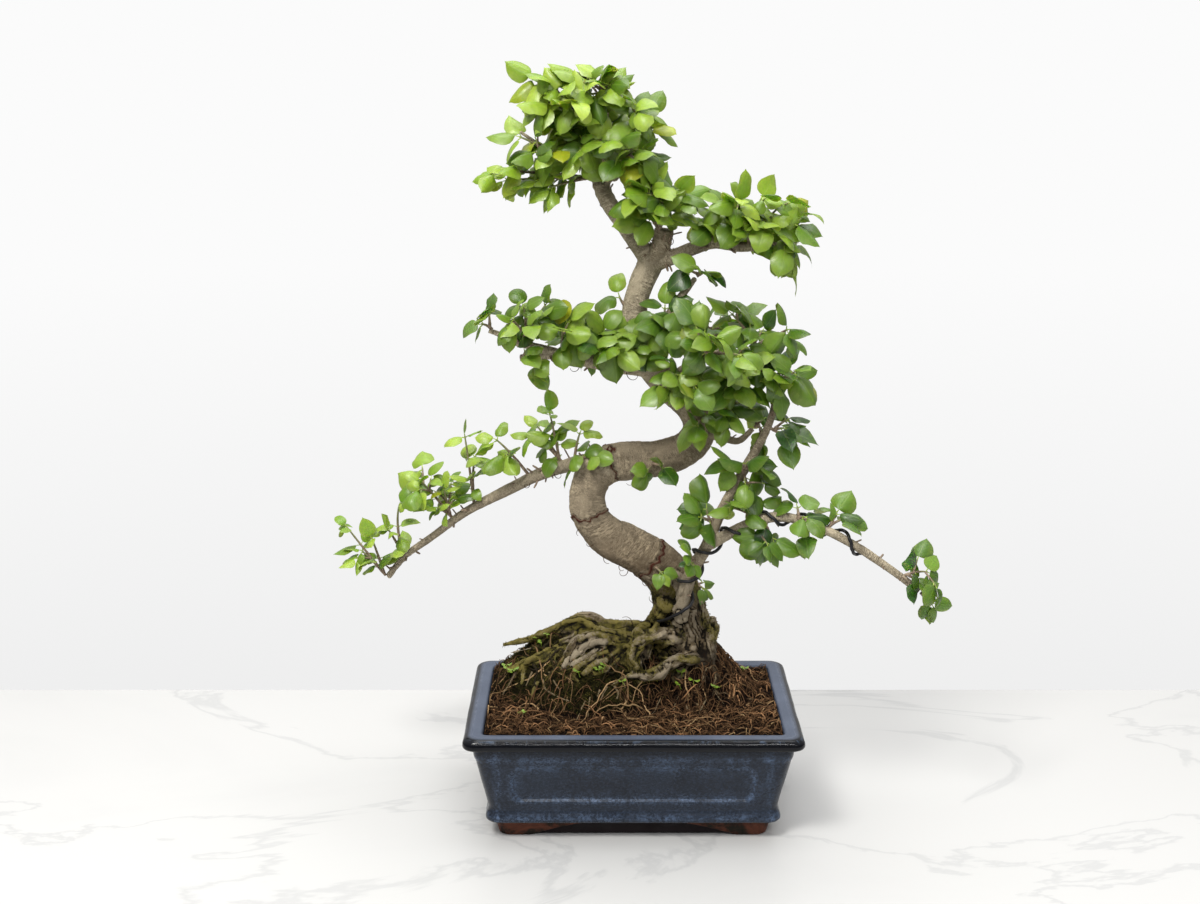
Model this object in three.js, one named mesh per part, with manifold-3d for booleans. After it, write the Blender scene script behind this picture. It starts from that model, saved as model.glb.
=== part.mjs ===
// A bonsai tree in a glazed pot: an S-shaped trunk on raised roots, its limbs
// and the leafy sprays that grow from them. Millimetres, +Z up, front towards -Y.
// The origin is the middle of the pot's footprint, on the table.
import * as THREE from "three";
import { mergeVertices } from "three/addons/utils/BufferGeometryUtils.js";
import Module from "manifold-3d";

const wasm = await Module();
wasm.setup();

// Driving dimensions

const GAP = 0.35; // between two pieces that touch on the real tree

const POT = {
  length: 250,
  depth: 180,
  height: 84,
  outerCorner: 9.5,
  innerCorner: 5,
  floor: 22,
  underside: 13,
};
// Pairs of inset from the rim's outer edge and height, up the outside of the wall
const WALL = [
  [18, 13], [15.5, 15], [16, 19], [17.5, 24], [8.8, 64], [7.5, 68],
  [7.5, 74], [3, 75], [0.6, 76], [0, 78], [1, 81], [4, 84],
];
// The same pairs, down the inside
const CAVITY = [[14, 84], [14.5, 82], [16, 60], [24, 22]];
const PANEL = { longHalf: 90, shortHalf: 56, low: 30, high: 60, deep: 1.6, corner: 6 };
const FOOT = { halfLength: 100, halfDepth: 65, spread: 3.5, top: 13.6, wall: 7, corner: 9 };
// The plain wall behind the arches, clear of the table so that water runs out
const APRON = { recess: 2.5, lift: 1.2 };
const ARCH = { top: 11.5, longLow: 85, longHigh: 33, shortLow: 48, shortHigh: 20 };
const DRAIN = { x: 55, diameter: 14 };
const MESH = { side: 26, thick: 1.2, holes: 3, hole: 5.2, pitch: 7.6 };

const SOIL = { level: 81.5, edge: 1, relief: 1.3, sink: 0.6, rings: 8, edgeSlope: 1.2 };
// The bank's slope at its left and right ends
const BANK = { left: -60, leftSlope: 0.75, right: 0, rightSlope: 1.1 };

const WIRE = { diameter: 2.5, sides: 6, pitch: 30, stepsPerTurn: 10, from: 12, to: 205 };

const STEM = { base: 1.3, tip: 0.7 };
const SHOOT = {
  endLeaf: 14,
  least: 0.45,
  lift: 0.16,
  rise: 0.05,
  port: 2.4,
  pitch: 17,
  leafy: 0.75,
};
// A leaf has this room to all but its own stem, which it clears from its foot on
const LEAF = { length: 24, broad: 0.6, thick: 1.2, room: 1.2, foot: 3 };
// Share of the blade's length and of its half width there, an entire ovate outline
const BLADE = [[0.27, 1], [0.62, 0.8]];

// The wood: points along each limb as x, y, z and the radius there
const TRUNK = [
  [40, 30, 91, 31], [39, 29, 111, 27], [39, 27, 134, 22], [36, 24, 155, 19.5],
  [28, 21, 174, 18], [14, 18, 189, 17], [-2, 15, 200, 16.5], [-19, 12, 210, 15.5],
  [-31, 10, 225, 13.5], [-34, 9, 242, 13], [-29, 11, 258, 14], [-16, 13, 267, 14.5],
  [0, 14, 268, 14.5], [20, 14, 270, 13.5], [40, 13, 277, 13], [50, 11, 293, 12.5],
  [44, 9, 310, 12], [28, 7, 326, 11.5], [14, 5, 343, 11], [6, 4, 362, 10],
  [1, 3, 383, 9.5], [5, 2, 401, 8.8], [13, 2, 420, 9.4],
];
const LIMBS = {
  apex: [
    [13, 2, 420, 8], [5, 1, 431, 6.8], [-7, 2, 447, 6.3], [-19, 4, 465, 6],
    [-25, 5, 480, 6], [-26, 6, 492, 4.5], [-22, 4, 512, 3], [-20, 2, 537, 2],
    [-20, 0, 548, 1.4],
  ],
  apexLeft: [
    [-25, 5, 481, 3.5], [-30, 4, 490, 2.5], [-43, 2, 493, 2], [-56, 0, 496, 1.8],
    [-71, -4, 507, 1.5], [-82, -8, 515, 1.2],
  ],
  apexRight: [
    [-22, 4, 480, 3.5], [-14, 0, 482, 3], [-7, -4, 489, 2.4], [-2, -8, 509, 1.8],
    [2, -12, 527, 1.4],
  ],
  stub: [[16, 0, 422, 8], [20, -3, 434, 7.2], [22, -4, 445, 7.2]],
  upperRight: [
    [16, 0, 421, 7.5], [30, -4, 425, 5.6], [42, -8, 431, 5], [58, -10, 436, 5],
    [75, -10, 433, 4], [90, -10, 433, 3.2], [104, -10, 434, 2.3],
  ],
  lowerLeft: [
    [-22, 12, 265, 9], [-35, 16, 267, 6.4], [-51, 20, 263, 5.2], [-74, 28, 253, 4.8],
    [-93, 34, 242, 4.4], [-110, 40, 232, 4], [-131, 46, 219, 3.4], [-157, 52, 198, 2.9],
    [-179, 56, 181, 2.6], [-193, 58, 164, 2.1],
  ],
  midLeft: [
    [14, 2, 342, 8], [-2, -4, 344, 6.5], [-25, -10, 348, 5.6], [-43, -14, 352, 5],
    [-57, -17, 355, 4], [-83, -20, 353, 2.6],
  ],
  midLeftTop: [
    [-50, -15, 354, 4], [-70, -20, 361, 3], [-86, -22, 365, 2.6], [-97, -24, 371, 2.2],
    [-105, -25, 374, 1.8],
  ],
  midRight: [
    [44, 6, 309, 8], [61, -8, 326, 6], [76, -16, 342, 5], [89, -22, 359, 4],
    [102, -26, 371, 2.4],
  ],
  midUp: [[9, 4, 355, 7], [22, -12, 376, 4.5], [34, -20, 398, 3], [44, -24, 412, 2]],
  midFront: [[27, 0, 327, 7], [35, -28, 344, 4.5], [47, -48, 356, 3.4], [61, -62, 365, 2.2]],
  midBack: [[11, 8, 353, 7], [24, 36, 353, 4.8], [46, 62, 355, 3.6], [71, 82, 354, 2.4]],
  lowRight: [[53, 8, 292, 5], [66, 0, 290, 3.2], [78, -5, 288, 2.6], [89, -4, 297, 2]],
  sucker: [
    [37, 3, 147, 5.6], [39, -4, 168, 5.2], [45, -14, 191, 5], [54, -22, 210, 4.6],
    [64, -25, 237, 4], [81, -25, 270, 3.6], [95, -22, 295, 3.2], [101, -20, 309, 2.8],
    [105, -18, 333, 2],
  ],
  wired: [
    [57, -25, 213, 3.8], [65, -30, 220, 4.2], [81, -34, 230, 4], [97, -37, 237, 3.8],
    [113, -39, 238, 3.6], [127, -40, 234, 3.5], [143, -41, 228, 3.4], [163, -42, 217, 3.3],
    [181, -42, 205, 3.1], [199, -42, 192, 2.9], [210, -42, 183, 2.6],
  ],
};
const ROOTS = {
  left: [
    [24, 26, 122, 12], [-1, 30, 126, 10], [-22, 33, 127, 9.5], [-40, 34, 132, 8.5],
    [-54, 34, 128, 6], [-69, 34, 123, 3.6], [-86, 33, 119, 2.4], [-101, 32, 116, 1.5],
  ],
  grey: [
    [14, 16, 117, 10], [-12, 13, 124, 8.5], [-27, 11, 128, 7.5], [-40, 9, 123, 6.5],
    [-50, 8, 110, 5], [-56, 6, 98, 3],
  ],
  moss: [[6, 12, 112, 9], [-15, 8, 114, 9], [-28, 4, 107, 7.5], [-37, 0, 97, 5.5], [-43, -3, 87, 3]],
  loop: [
    [31, 6, 132, 7], [15, 0, 134, 5.8], [5, -3, 131, 5.6], [1, -4, 120, 5.2],
    [4, -4, 106, 4.8], [5, -3, 96, 3],
  ],
  front: [
    [56, 8, 110, 5], [45, 2, 116, 4.4], [34, -2, 115, 4.4], [24, -4, 109, 5],
    [10, -4, 103, 4], [-8, -3, 99, 3], [-20, -2, 91, 2],
  ],
  mid: [[-8, 26, 121, 9], [-30, 24, 116, 7], [-54, 20, 113, 5], [-77, 16, 108, 4], [-97, 12, 102, 2.4]],
  right: [[55, 22, 127, 10], [58, 14, 116, 8], [60, 8, 105, 5], [63, 2, 96, 3]],
  back: [[36, 44, 116, 11], [27, 60, 108, 8], [21, 72, 94, 4]],
  backLeft: [[7, 38, 118, 10], [-21, 54, 113, 8], [-46, 66, 98, 4]],
  backRight: [[50, 40, 117, 10], [65, 54, 104, 7], [74, 64, 89, 3.5]],
};

// The training wire's start on the trunk, before it winds round the wired limb
const WIRE_LEAD = [[20, 8, 143], [26, 1, 147], [32, -5, 152]];

// Each spray: the limb that it grows from, where, and the tips of its shoots
const SPRAYS = [
  ["lowerLeft", [-193, 58, 164], [-233, 60, 216], [-208, 52, 210]],
  ["lowerLeft", [-179, 56, 181], [-182, 52, 238], [-196, 48, 216]],
  ["lowerLeft", [-140, 47, 216], [-172, 44, 256], [-160, 34, 233], [-148, 38, 252], [-140, 60, 254]],
  ["lowerLeft", [-121, 44, 226], [-120, 46, 279], [-130, 38, 296]],
  ["lowerLeft", [-78, 28, 252], [-113, 24, 293]],
  ["lowerLeft", [-53, 20, 262], [-88, 24, 296], [-65, 14, 318], [-80, 36, 302]],
  ["lowerLeft", [-44, 15, 266], [-37, 6, 305], [-20, -8, 280], [-46, 2, 256]],
  ["midLeftTop", [-104, -25, 373], [-120, -28, 384], [-105, -22, 397]],
  ["midLeftTop", [-79, -21, 363], [-81, -22, 405], [-93, -42, 394], [-64, -30, 394], [-57, -6, 402]],
  ["midLeft", [-80, -20, 354], [-76, -36, 367], [-62, -34, 344]],
  ["midLeft", [-52, -17, 355], [-43, -16, 395], [-52, -48, 385]],
  ["midLeft", [-23, -10, 348], [-28, -14, 383], [-33, -42, 373], [-18, -50, 369],
    [-32, 26, 365], [-13, -20, 382], [-50, 20, 364]],
  ["midLeft", [-3, -5, 344], [8, -36, 372], [-6, -34, 376]],
  ["trunk", [-5, 4, 388], [-16, 0, 405]],
  ["midUp", [44, -24, 412], [60, -26, 420], [46, -38, 424], [32, -16, 419]],
  ["midUp", [25, -14, 381], [21, -26, 402], [41, -38, 395], [24, -48, 374], [8, -34, 386]],
  ["midRight", [90, -22, 361], [80, -26, 391], [62, -16, 396], [100, -16, 383]],
  ["midRight", [102, -26, 370], [123, -22, 359], [116, -40, 381]],
  ["midRight", [81, -18, 348], [130, -34, 337], [110, -46, 346]],
  ["midRight", [69, -12, 335], [76, -46, 372], [62, -34, 371], [81, -48, 335], [66, -60, 354]],
  ["midFront", [55, -56, 361], [39, -76, 377], [55, -92, 385], [80, -98, 368]],
  ["midFront", [38, -30, 344], [26, -64, 349], [19, -58, 365], [32, -56, 330], [50, -66, 335]],
  ["trunk", [46, 6, 302], [56, -36, 316], [45, -38, 305]],
  ["midRight", [58, -5, 323], [94, -24, 321], [80, -34, 311]],
  ["midBack", [27, 40, 353], [13, 48, 376], [38, 58, 372], [58, 50, 370], [14, 78, 344]],
  ["midBack", [63, 76, 354], [53, 68, 377], [35, 92, 358], [65, 106, 352], [92, 97, 356]],
  ["lowRight", [89, -4, 297], [104, -6, 313], [90, 10, 314], [101, 4, 292]],
  ["trunk", [17, 6, 265], [5, -20, 262], [29, -20, 269]],
  ["sucker", [82, -25, 272], [61, -34, 277], [84, -38, 284], [106, -30, 275], [90, -30, 243]],
  ["sucker", [98, -21, 302], [124, -20, 284], [117, -28, 304], [124, -12, 314]],
  ["sucker", [105, -18, 333], [110, -12, 352], [98, -24, 350]],
  ["sucker", [61, -27, 228], [50, -32, 256], [40, -42, 243]],
  ["sucker", [49, -18, 199], [38, -40, 218], [42, -40, 200]],
  ["trunk", [14, 18, 189], [29, -14, 181]],
  ["trunk", [45, 22, 168], [65, 14, 163], [62, 30, 170]],
  ["wired", [98, -37, 237], [86, -50, 214], [108, -46, 210]],
  ["wired", [86, -35, 233], [80, -42, 254], [100, -30, 255]],
  ["wired", [120, -39, 237], [130, -56, 244], [130, -50, 214], [118, -36, 256]],
  ["wired", [141, -41, 228], [167, -40, 243], [154, -34, 252]],
  ["wired", [198, -42, 193], [230, -40, 199], [217, -48, 187]],
  ["wired", [210, -42, 184], [230, -42, 162], [222, -34, 163]],
  ["upperRight", [61, -10, 436], [64, -14, 470], [45, -22, 458]],
  ["upperRight", [71, -10, 434], [80, -8, 475], [94, 30, 460], [65, 18, 461]],
  ["upperRight", [82, -10, 433], [94, -16, 481], [74, -40, 454], [114, -8, 472], [99, -40, 459]],
  ["upperRight", [104, -10, 434], [121, -18, 461], [110, -34, 447], [118, -14, 422], [110, 10, 441]],
  ["stub", [22, -4, 444], [11, -20, 479], [30, -22, 469], [4, -26, 464]],
  ["apex", [-29, 5, 482], [-107, 0, 479], [-73, -12, 472]],
  ["apexLeft", [-56, 0, 496], [-94, -12, 518], [-81, -26, 503], [-53, -30, 506]],
  ["apexLeft", [-36, 3, 491], [-55, -8, 529], [-43, -40, 504]],
  ["apex", [-22, 4, 513], [-67, -6, 555], [-53, -32, 542], [-57, 26, 523]],
  ["apex", [-20, 2, 539], [-33, -8, 562], [-7, 0, 561], [-36, -34, 542], [-16, -32, 549]],
  ["apexRight", [0, -10, 517], [19, -12, 538], [26, -4, 517], [-4, -38, 545]],
  ["apexRight", [-6, -6, 495], [20, -14, 502], [8, -30, 488], [-16, -38, 497], [-18, -44, 516]],
  ["apex", [-24, 5, 502], [-33, 40, 536], [-10, 40, 533], [-44, 44, 506], [-13, 50, 506]],
];

// Geometry and solids

const UP = new THREE.Vector3(0, 0, 1);

function vector([x, y, z]) {
  return new THREE.Vector3(x, y, z);
}

// A closed skin over rings of equal size, each counter-clockwise seen from the
// end, with a point at each end. Zigzag turns every second row of diagonals
// round, so that the two faces of a thin blade are split alike.
function skin(rings, first, last, zigzag = false) {
  const size = rings[0].length;
  const points = [first, ...rings.flat(), last];
  const faces = [];
  const at = (ring, side) => 1 + ring * size + (side % size);
  for (let side = 0; side < size; side++) {
    faces.push(0, at(0, side + 1), at(0, side));
    for (let ring = 0; ring + 1 < rings.length; ring++) {
      const a = at(ring, side);
      const b = at(ring, side + 1);
      const c = at(ring + 1, side + 1);
      const d = at(ring + 1, side);
      if (zigzag && side % 2) faces.push(a, b, d, b, c, d);
      else faces.push(a, b, c, a, c, d);
    }
    faces.push(points.length - 1, at(rings.length - 1, side), at(rings.length - 1, side + 1));
  }
  const geometry = new THREE.BufferGeometry().setFromPoints(points);
  geometry.setIndex(faces);
  return geometry;
}

function solidOf(geometry) {
  const loose = geometry.index ? geometry.toNonIndexed() : geometry;
  const bare = new THREE.BufferGeometry().setAttribute("position", loose.getAttribute("position"));
  const merged = mergeVertices(bare, 1e-4);
  const data = {
    numProp: 3,
    vertProperties: merged.attributes.position.array,
    triVerts: new Uint32Array(merged.index.array),
  };
  return new wasm.Manifold(new wasm.Mesh(data));
}

function join(solids) {
  return solids.reduce((whole, piece) => whole.add(piece));
}

function largestBody(solid) {
  return solid.decompose().sort((a, b) => b.volume() - a.volume())[0];
}

function meshOf(name, solid, finish) {
  const { numProp, numVert, vertProperties, triVerts } = solid.getMesh();
  const points = new Float32Array(numVert * 3);
  for (let i = 0; i < numVert; i++) {
    points.set(vertProperties.subarray(i * numProp, i * numProp + 3), i * 3);
  }
  const geometry = new THREE.BufferGeometry();
  geometry.setAttribute("position", new THREE.BufferAttribute(points, 3));
  geometry.setIndex(new THREE.BufferAttribute(triVerts, 1));
  geometry.computeVertexNormals();
  const mesh = new THREE.Mesh(geometry, new THREE.MeshStandardMaterial(finish));
  mesh.name = name;
  return mesh;
}

function seeded(seed) {
  let state = Math.imul(seed + 1, 2654435761) >>> 0;
  return () => {
    state = (Math.imul(1664525, state) + 1013904223) >>> 0;
    return state / 2 ** 32;
  };
}

// A rounded rectangle at height z, counter-clockwise from above, with extra
// points along its long and short sides
function roundedRing(halfX, halfY, radius, z, arc = 3, along = 0, across = 0) {
  const corners = [[1, -1], [1, 1], [-1, 1], [-1, -1]];
  const ring = [];
  corners.forEach(([signX, signY], corner) => {
    const start = (corner - 1) * (Math.PI / 2);
    for (let i = 0; i <= arc; i++) {
      const angle = start + (i / arc) * (Math.PI / 2);
      const x = signX * (halfX - radius) + radius * Math.cos(angle);
      const y = signY * (halfY - radius) + radius * Math.sin(angle);
      ring.push(new THREE.Vector3(x, y, z));
    }
    const extra = corner % 2 ? along : across;
    const [nextX, nextY] = corners[(corner + 1) % 4];
    const end = start + Math.PI / 2;
    const from = ring[ring.length - 1];
    const to = new THREE.Vector3(
      nextX * (halfX - radius) + radius * Math.cos(end),
      nextY * (halfY - radius) + radius * Math.sin(end),
      z,
    );
    for (let i = 1; i <= extra; i++) ring.push(from.clone().lerp(to, i / (extra + 1)));
  });
  return ring;
}

// A tapered limb through points of x, y, z and radius, with fluted bark
function limb(points, sides, step, bark = 0, grow = 0) {
  const curve = new THREE.CatmullRomCurve3(points.map(vector));
  const count = Math.max(2, Math.round(curve.getLength() / step));
  const { tangents, normals, binormals } = curve.computeFrenetFrames(count, false);
  const rings = [];
  const radii = [];
  for (let i = 0; i <= count; i++) {
    const place = curve.getUtoTmapping(i / count) * (points.length - 1);
    const low = Math.min(Math.floor(place), points.length - 2);
    const radius = THREE.MathUtils.lerp(points[low][3], points[low + 1][3], place - low);
    const ring = [];
    for (let side = 0; side < sides; side++) {
      const angle = (side / sides) * 2 * Math.PI;
      const flute = 0.6 * Math.sin(3 * angle + i * 0.45) + 0.4 * Math.sin(5 * angle - i * 0.7);
      const reach = radius * (1 + bark * flute) + grow;
      const spoke = normals[i].clone().multiplyScalar(Math.cos(angle) * reach);
      spoke.addScaledVector(binormals[i], Math.sin(angle) * reach);
      ring.push(spoke.add(curve.getPointAt(i / count)));
    }
    rings.push(ring);
    radii.push(radius + grow);
  }
  const first = curve.getPointAt(0).addScaledVector(tangents[0], -0.5 * radii[0]);
  const last = curve.getPointAt(1).addScaledVector(tangents[count], 0.5 * radii[count]);
  return solidOf(skin(rings, first, last));
}

// The pot

function potRing([inset, z], corner) {
  return roundedRing(POT.length / 2 - inset, POT.depth / 2 - inset, corner, z);
}

// The sunk panel's cutter, standing on the sloping wall at the side that the
// turn gives, where the wall's foot line is half a length or depth away
function panelCutter(halfWidth, halfSpan, turn) {
  const [[lowInset, lowZ], [highInset, highZ]] = [WALL[3], WALL[4]];
  const slope = Math.atan2(lowInset - highInset, highZ - lowZ);
  const midZ = (PANEL.low + PANEL.high) / 2;
  const midInset = lowInset - (midZ - lowZ) * Math.tan(slope);
  const halfHeight = (PANEL.high - PANEL.low) / 2 / Math.cos(slope);
  const outline = new THREE.Shape(
    roundedRing(halfWidth, halfHeight, PANEL.corner, 0, 3).map((p) => new THREE.Vector2(p.x, p.y)),
  );
  const cutter = new THREE.ExtrudeGeometry(outline, { depth: 6, bevelEnabled: false });
  cutter.translate(0, 0, -PANEL.deep);
  cutter.rotateX(Math.PI / 2 + slope);
  cutter.translate(0, -(halfSpan - midInset), midZ);
  cutter.rotateZ(turn);
  return solidOf(cutter);
}

// One arch in the foot ring, as wide as low at the table and as high at its top
function archCutter(low, high, depth) {
  const outline = new THREE.Shape();
  outline.moveTo(-low, -1);
  outline.lineTo(low, -1);
  outline.bezierCurveTo(low - 6, ARCH.top * 0.75, high + 14, ARCH.top, high, ARCH.top);
  outline.lineTo(-high, ARCH.top);
  outline.bezierCurveTo(-high - 14, ARCH.top, 6 - low, ARCH.top * 0.75, -low, -1);
  const cutter = new THREE.ExtrudeGeometry(outline, { depth, bevelEnabled: false, curveSegments: 4 });
  cutter.translate(0, 0, -depth / 2);
  cutter.rotateX(Math.PI / 2);
  return cutter;
}

function makePot() {
  const outside = WALL.map((pair) => potRing(pair, POT.outerCorner));
  const inside = CAVITY.map((pair) => potRing(pair, POT.innerCorner));
  const under = new THREE.Vector3(0, 0, POT.underside);
  const floor = new THREE.Vector3(0, 0, POT.floor);
  let pot = solidOf(skin([...outside, ...inside], under, floor));

  const { halfLength, halfDepth, spread, top, wall, corner } = FOOT;
  const footRing = (inset, out, z) =>
    roundedRing(halfLength + out - inset, halfDepth + out - inset, corner - inset / 2, z);
  const block = skin(
    [footRing(0, 0, 0), footRing(0, spread, top)],
    vector([0, 0, 0]),
    vector([0, 0, top]),
  );
  const core = skin(
    [footRing(wall, 0, -1), footRing(wall, spread, top + 1)],
    vector([0, 0, -1]),
    vector([0, 0, top + 1]),
  );
  const archOver = archCutter(ARCH.longLow, ARCH.longHigh, POT.depth);
  const archAcross = archCutter(ARCH.shortLow, ARCH.shortHigh, POT.length);
  archAcross.rotateZ(Math.PI / 2);
  const apron = skin(
    [footRing(APRON.recess, 0, APRON.lift), footRing(APRON.recess, spread, top)],
    vector([0, 0, APRON.lift]),
    vector([0, 0, top]),
  );
  let foot = solidOf(block).subtract(solidOf(archOver)).subtract(solidOf(archAcross));
  foot = foot.add(solidOf(apron)).subtract(solidOf(core));
  pot = pot.add(foot);

  for (const turn of [0, Math.PI]) {
    pot = pot.subtract(panelCutter(PANEL.longHalf, POT.depth / 2, turn));
    pot = pot.subtract(panelCutter(PANEL.shortHalf, POT.length / 2, turn + Math.PI / 2));
  }
  for (const x of [-DRAIN.x, DRAIN.x]) {
    const hole = new THREE.CylinderGeometry(DRAIN.diameter / 2, DRAIN.diameter / 2, 20, 16);
    hole.rotateX(Math.PI / 2);
    hole.translate(x, 0, (POT.floor + POT.underside) / 2);
    pot = pot.subtract(solidOf(hole));
  }
  return pot;
}

// The plastic mesh that keeps the soil in over a drain hole
function makeDrainMesh(x) {
  const plate = new THREE.BoxGeometry(MESH.side, MESH.side, MESH.thick);
  plate.translate(x, 0, POT.floor + GAP + MESH.thick / 2);
  let mesh = solidOf(plate);
  const first = (-(MESH.holes - 1) * MESH.pitch) / 2;
  for (let i = 0; i < MESH.holes; i++) {
    for (let j = 0; j < MESH.holes; j++) {
      const hole = new THREE.BoxGeometry(MESH.hole, MESH.hole, 4 * MESH.thick);
      hole.translate(x + first + i * MESH.pitch, first + j * MESH.pitch, POT.floor);
      mesh = mesh.subtract(solidOf(hole));
    }
  }
  return mesh;
}

// The soil

// Places along a root as x, y, z and radius
function along(points, count) {
  const curve = new THREE.CatmullRomCurve3(points.map(vector));
  return Array.from({ length: count + 1 }, (_, i) => {
    const place = (i / count) * (points.length - 1);
    const low = Math.min(Math.floor(place), points.length - 2);
    const p = curve.getPoint(i / count);
    return [p.x, p.y, p.z, THREE.MathUtils.lerp(points[low][3], points[low + 1][3], place - low)];
  });
}

// The wood that lies on the banked soil: the thin root ends, the loop and the
// front root stand free of it
const CARRIED = [
  ROOTS.left.slice(0, 6), ROOTS.mid.slice(0, 4), ROOTS.grey, ROOTS.moss, ROOTS.right,
  ROOTS.back, ROOTS.backLeft, ROOTS.backRight, TRUNK.slice(0, 2),
].flatMap((points) => along(points, 14));

// How steep the bank is under a root at this place
function bankSlope(x) {
  return THREE.MathUtils.mapLinear(
    THREE.MathUtils.clamp(x, BANK.left, BANK.right),
    BANK.left,
    BANK.right,
    BANK.leftSlope,
    BANK.rightSlope,
  );
}

// The top of the soil: level near the rim, and banked up under the roots
function soilTop(x, y) {
  let top = SOIL.level;
  for (const [px, py, pz, radius] of CARRIED) {
    const away = Math.max(0, Math.hypot(x - px, y - py) - radius * 0.8);
    top = Math.max(top, pz - SOIL.sink * radius - bankSlope(px) * away);
  }
  const inset = CAVITY[1][0];
  const room = Math.min(POT.length / 2 - inset - Math.abs(x), POT.depth / 2 - inset - Math.abs(y));
  top = Math.min(top, SOIL.level + SOIL.edgeSlope * room);
  const crumb = Math.sin(x * 0.21 + Math.sin(y * 0.13) * 2) * Math.cos(y * 0.24 + x * 0.05);
  return top + SOIL.relief * crumb;
}

function makeSoil(wood) {
  const ring = ([inset, z], share = 1) => {
    const halfX = (POT.length / 2 - inset - GAP) * share;
    const halfY = (POT.depth / 2 - inset - GAP) * share;
    return roundedRing(halfX, halfY, POT.innerCorner * share, z, 1, 7, 4);
  };
  const [, wallHigh, wallLow, wallFoot] = CAVITY;
  const rings = [ring([wallFoot[0], POT.floor + GAP]), ring(wallLow)];
  const edgeZ = SOIL.level - SOIL.edge;
  const drop = (wallHigh[1] - edgeZ) / (wallHigh[1] - wallLow[1]);
  const edge = [THREE.MathUtils.lerp(wallHigh[0], wallLow[0], drop), edgeZ];
  for (let i = 0; i < SOIL.rings; i++) {
    const share = 1 - i / SOIL.rings;
    rings.push(ring(edge, share).map((p) => p.setZ(i ? soilTop(p.x, p.y) : edgeZ)));
  }
  const middle = new THREE.Vector3(0, 0, soilTop(0, 0));
  let soil = solidOf(skin(rings, vector([0, 0, POT.floor + GAP]), middle));
  for (const x of [-DRAIN.x, DRAIN.x]) {
    const side = MESH.side + 2 * GAP;
    const pocket = new THREE.BoxGeometry(side, side, 2 * (MESH.thick + 2 * GAP));
    pocket.translate(x, 0, POT.floor);
    soil = soil.subtract(solidOf(pocket));
  }
  for (const piece of wood) soil = soil.subtract(piece);
  return largestBody(soil);
}

// The wood

const WOOD = [
  { name: "trunk", points: TRUNK, sides: 10, step: 15, bark: 0.07 },
  ...Object.entries(LIMBS).map(([name, points]) => ({ name, points, sides: 6, step: 20, bark: 0.05 })),
];
const ROOT_WOOD = Object.values(ROOTS).map((points) => ({ points, sides: 5, step: 15, bark: 0.1 }));

function woodSolid({ points, sides, step, bark }, grow = 0) {
  return limb(points, sides, step, bark, grow);
}

// The training wire: a lead up the trunk, then turns round the sucker and the wired limb

function makeWire() {
  const offset = WIRE.diameter / 2 + 3 * GAP;
  const host = [...LIMBS.sucker.slice(0, 4), ...LIMBS.wired.slice(1)];
  const curve = new THREE.CatmullRomCurve3(host.map(vector));
  const length = curve.getLength();
  const turns = (WIRE.to - WIRE.from) / WIRE.pitch;
  const count = Math.round(turns * WIRE.stepsPerTurn);
  const places = Math.round(length);
  const { normals, binormals } = curve.computeFrenetFrames(places, false);
  const route = WIRE_LEAD.map(vector);
  const front = new THREE.Vector3(0, -1, 0);
  const nearest = Math.round((WIRE.from / length) * places);
  const start = Math.atan2(front.dot(binormals[nearest]), front.dot(normals[nearest]));
  for (let i = 0; i <= count; i++) {
    const distance = WIRE.from + (i / count) * (WIRE.to - WIRE.from);
    const share = distance / length;
    const frame = Math.round(share * places);
    const place = curve.getUtoTmapping(share) * (host.length - 1);
    const low = Math.min(Math.floor(place), host.length - 2);
    const radius = THREE.MathUtils.lerp(host[low][3], host[low + 1][3], place - low) + offset;
    const angle = start + (i / WIRE.stepsPerTurn) * 2 * Math.PI;
    const point = curve.getPointAt(share);
    point.addScaledVector(normals[frame], Math.cos(angle) * radius);
    point.addScaledVector(binormals[frame], Math.sin(angle) * radius);
    route.push(point);
  }
  const section = new THREE.Shape().absarc(0, 0, WIRE.diameter / 2, 0, 2 * Math.PI);
  const path = new THREE.CatmullRomCurve3(route);
  const curveSegments = WIRE.sides / 2;
  const settings = { extrudePath: path, steps: route.length - 1, curveSegments, bevelEnabled: false };
  return solidOf(new THREE.ExtrudeGeometry(section, settings));
}

// The foliage

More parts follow.
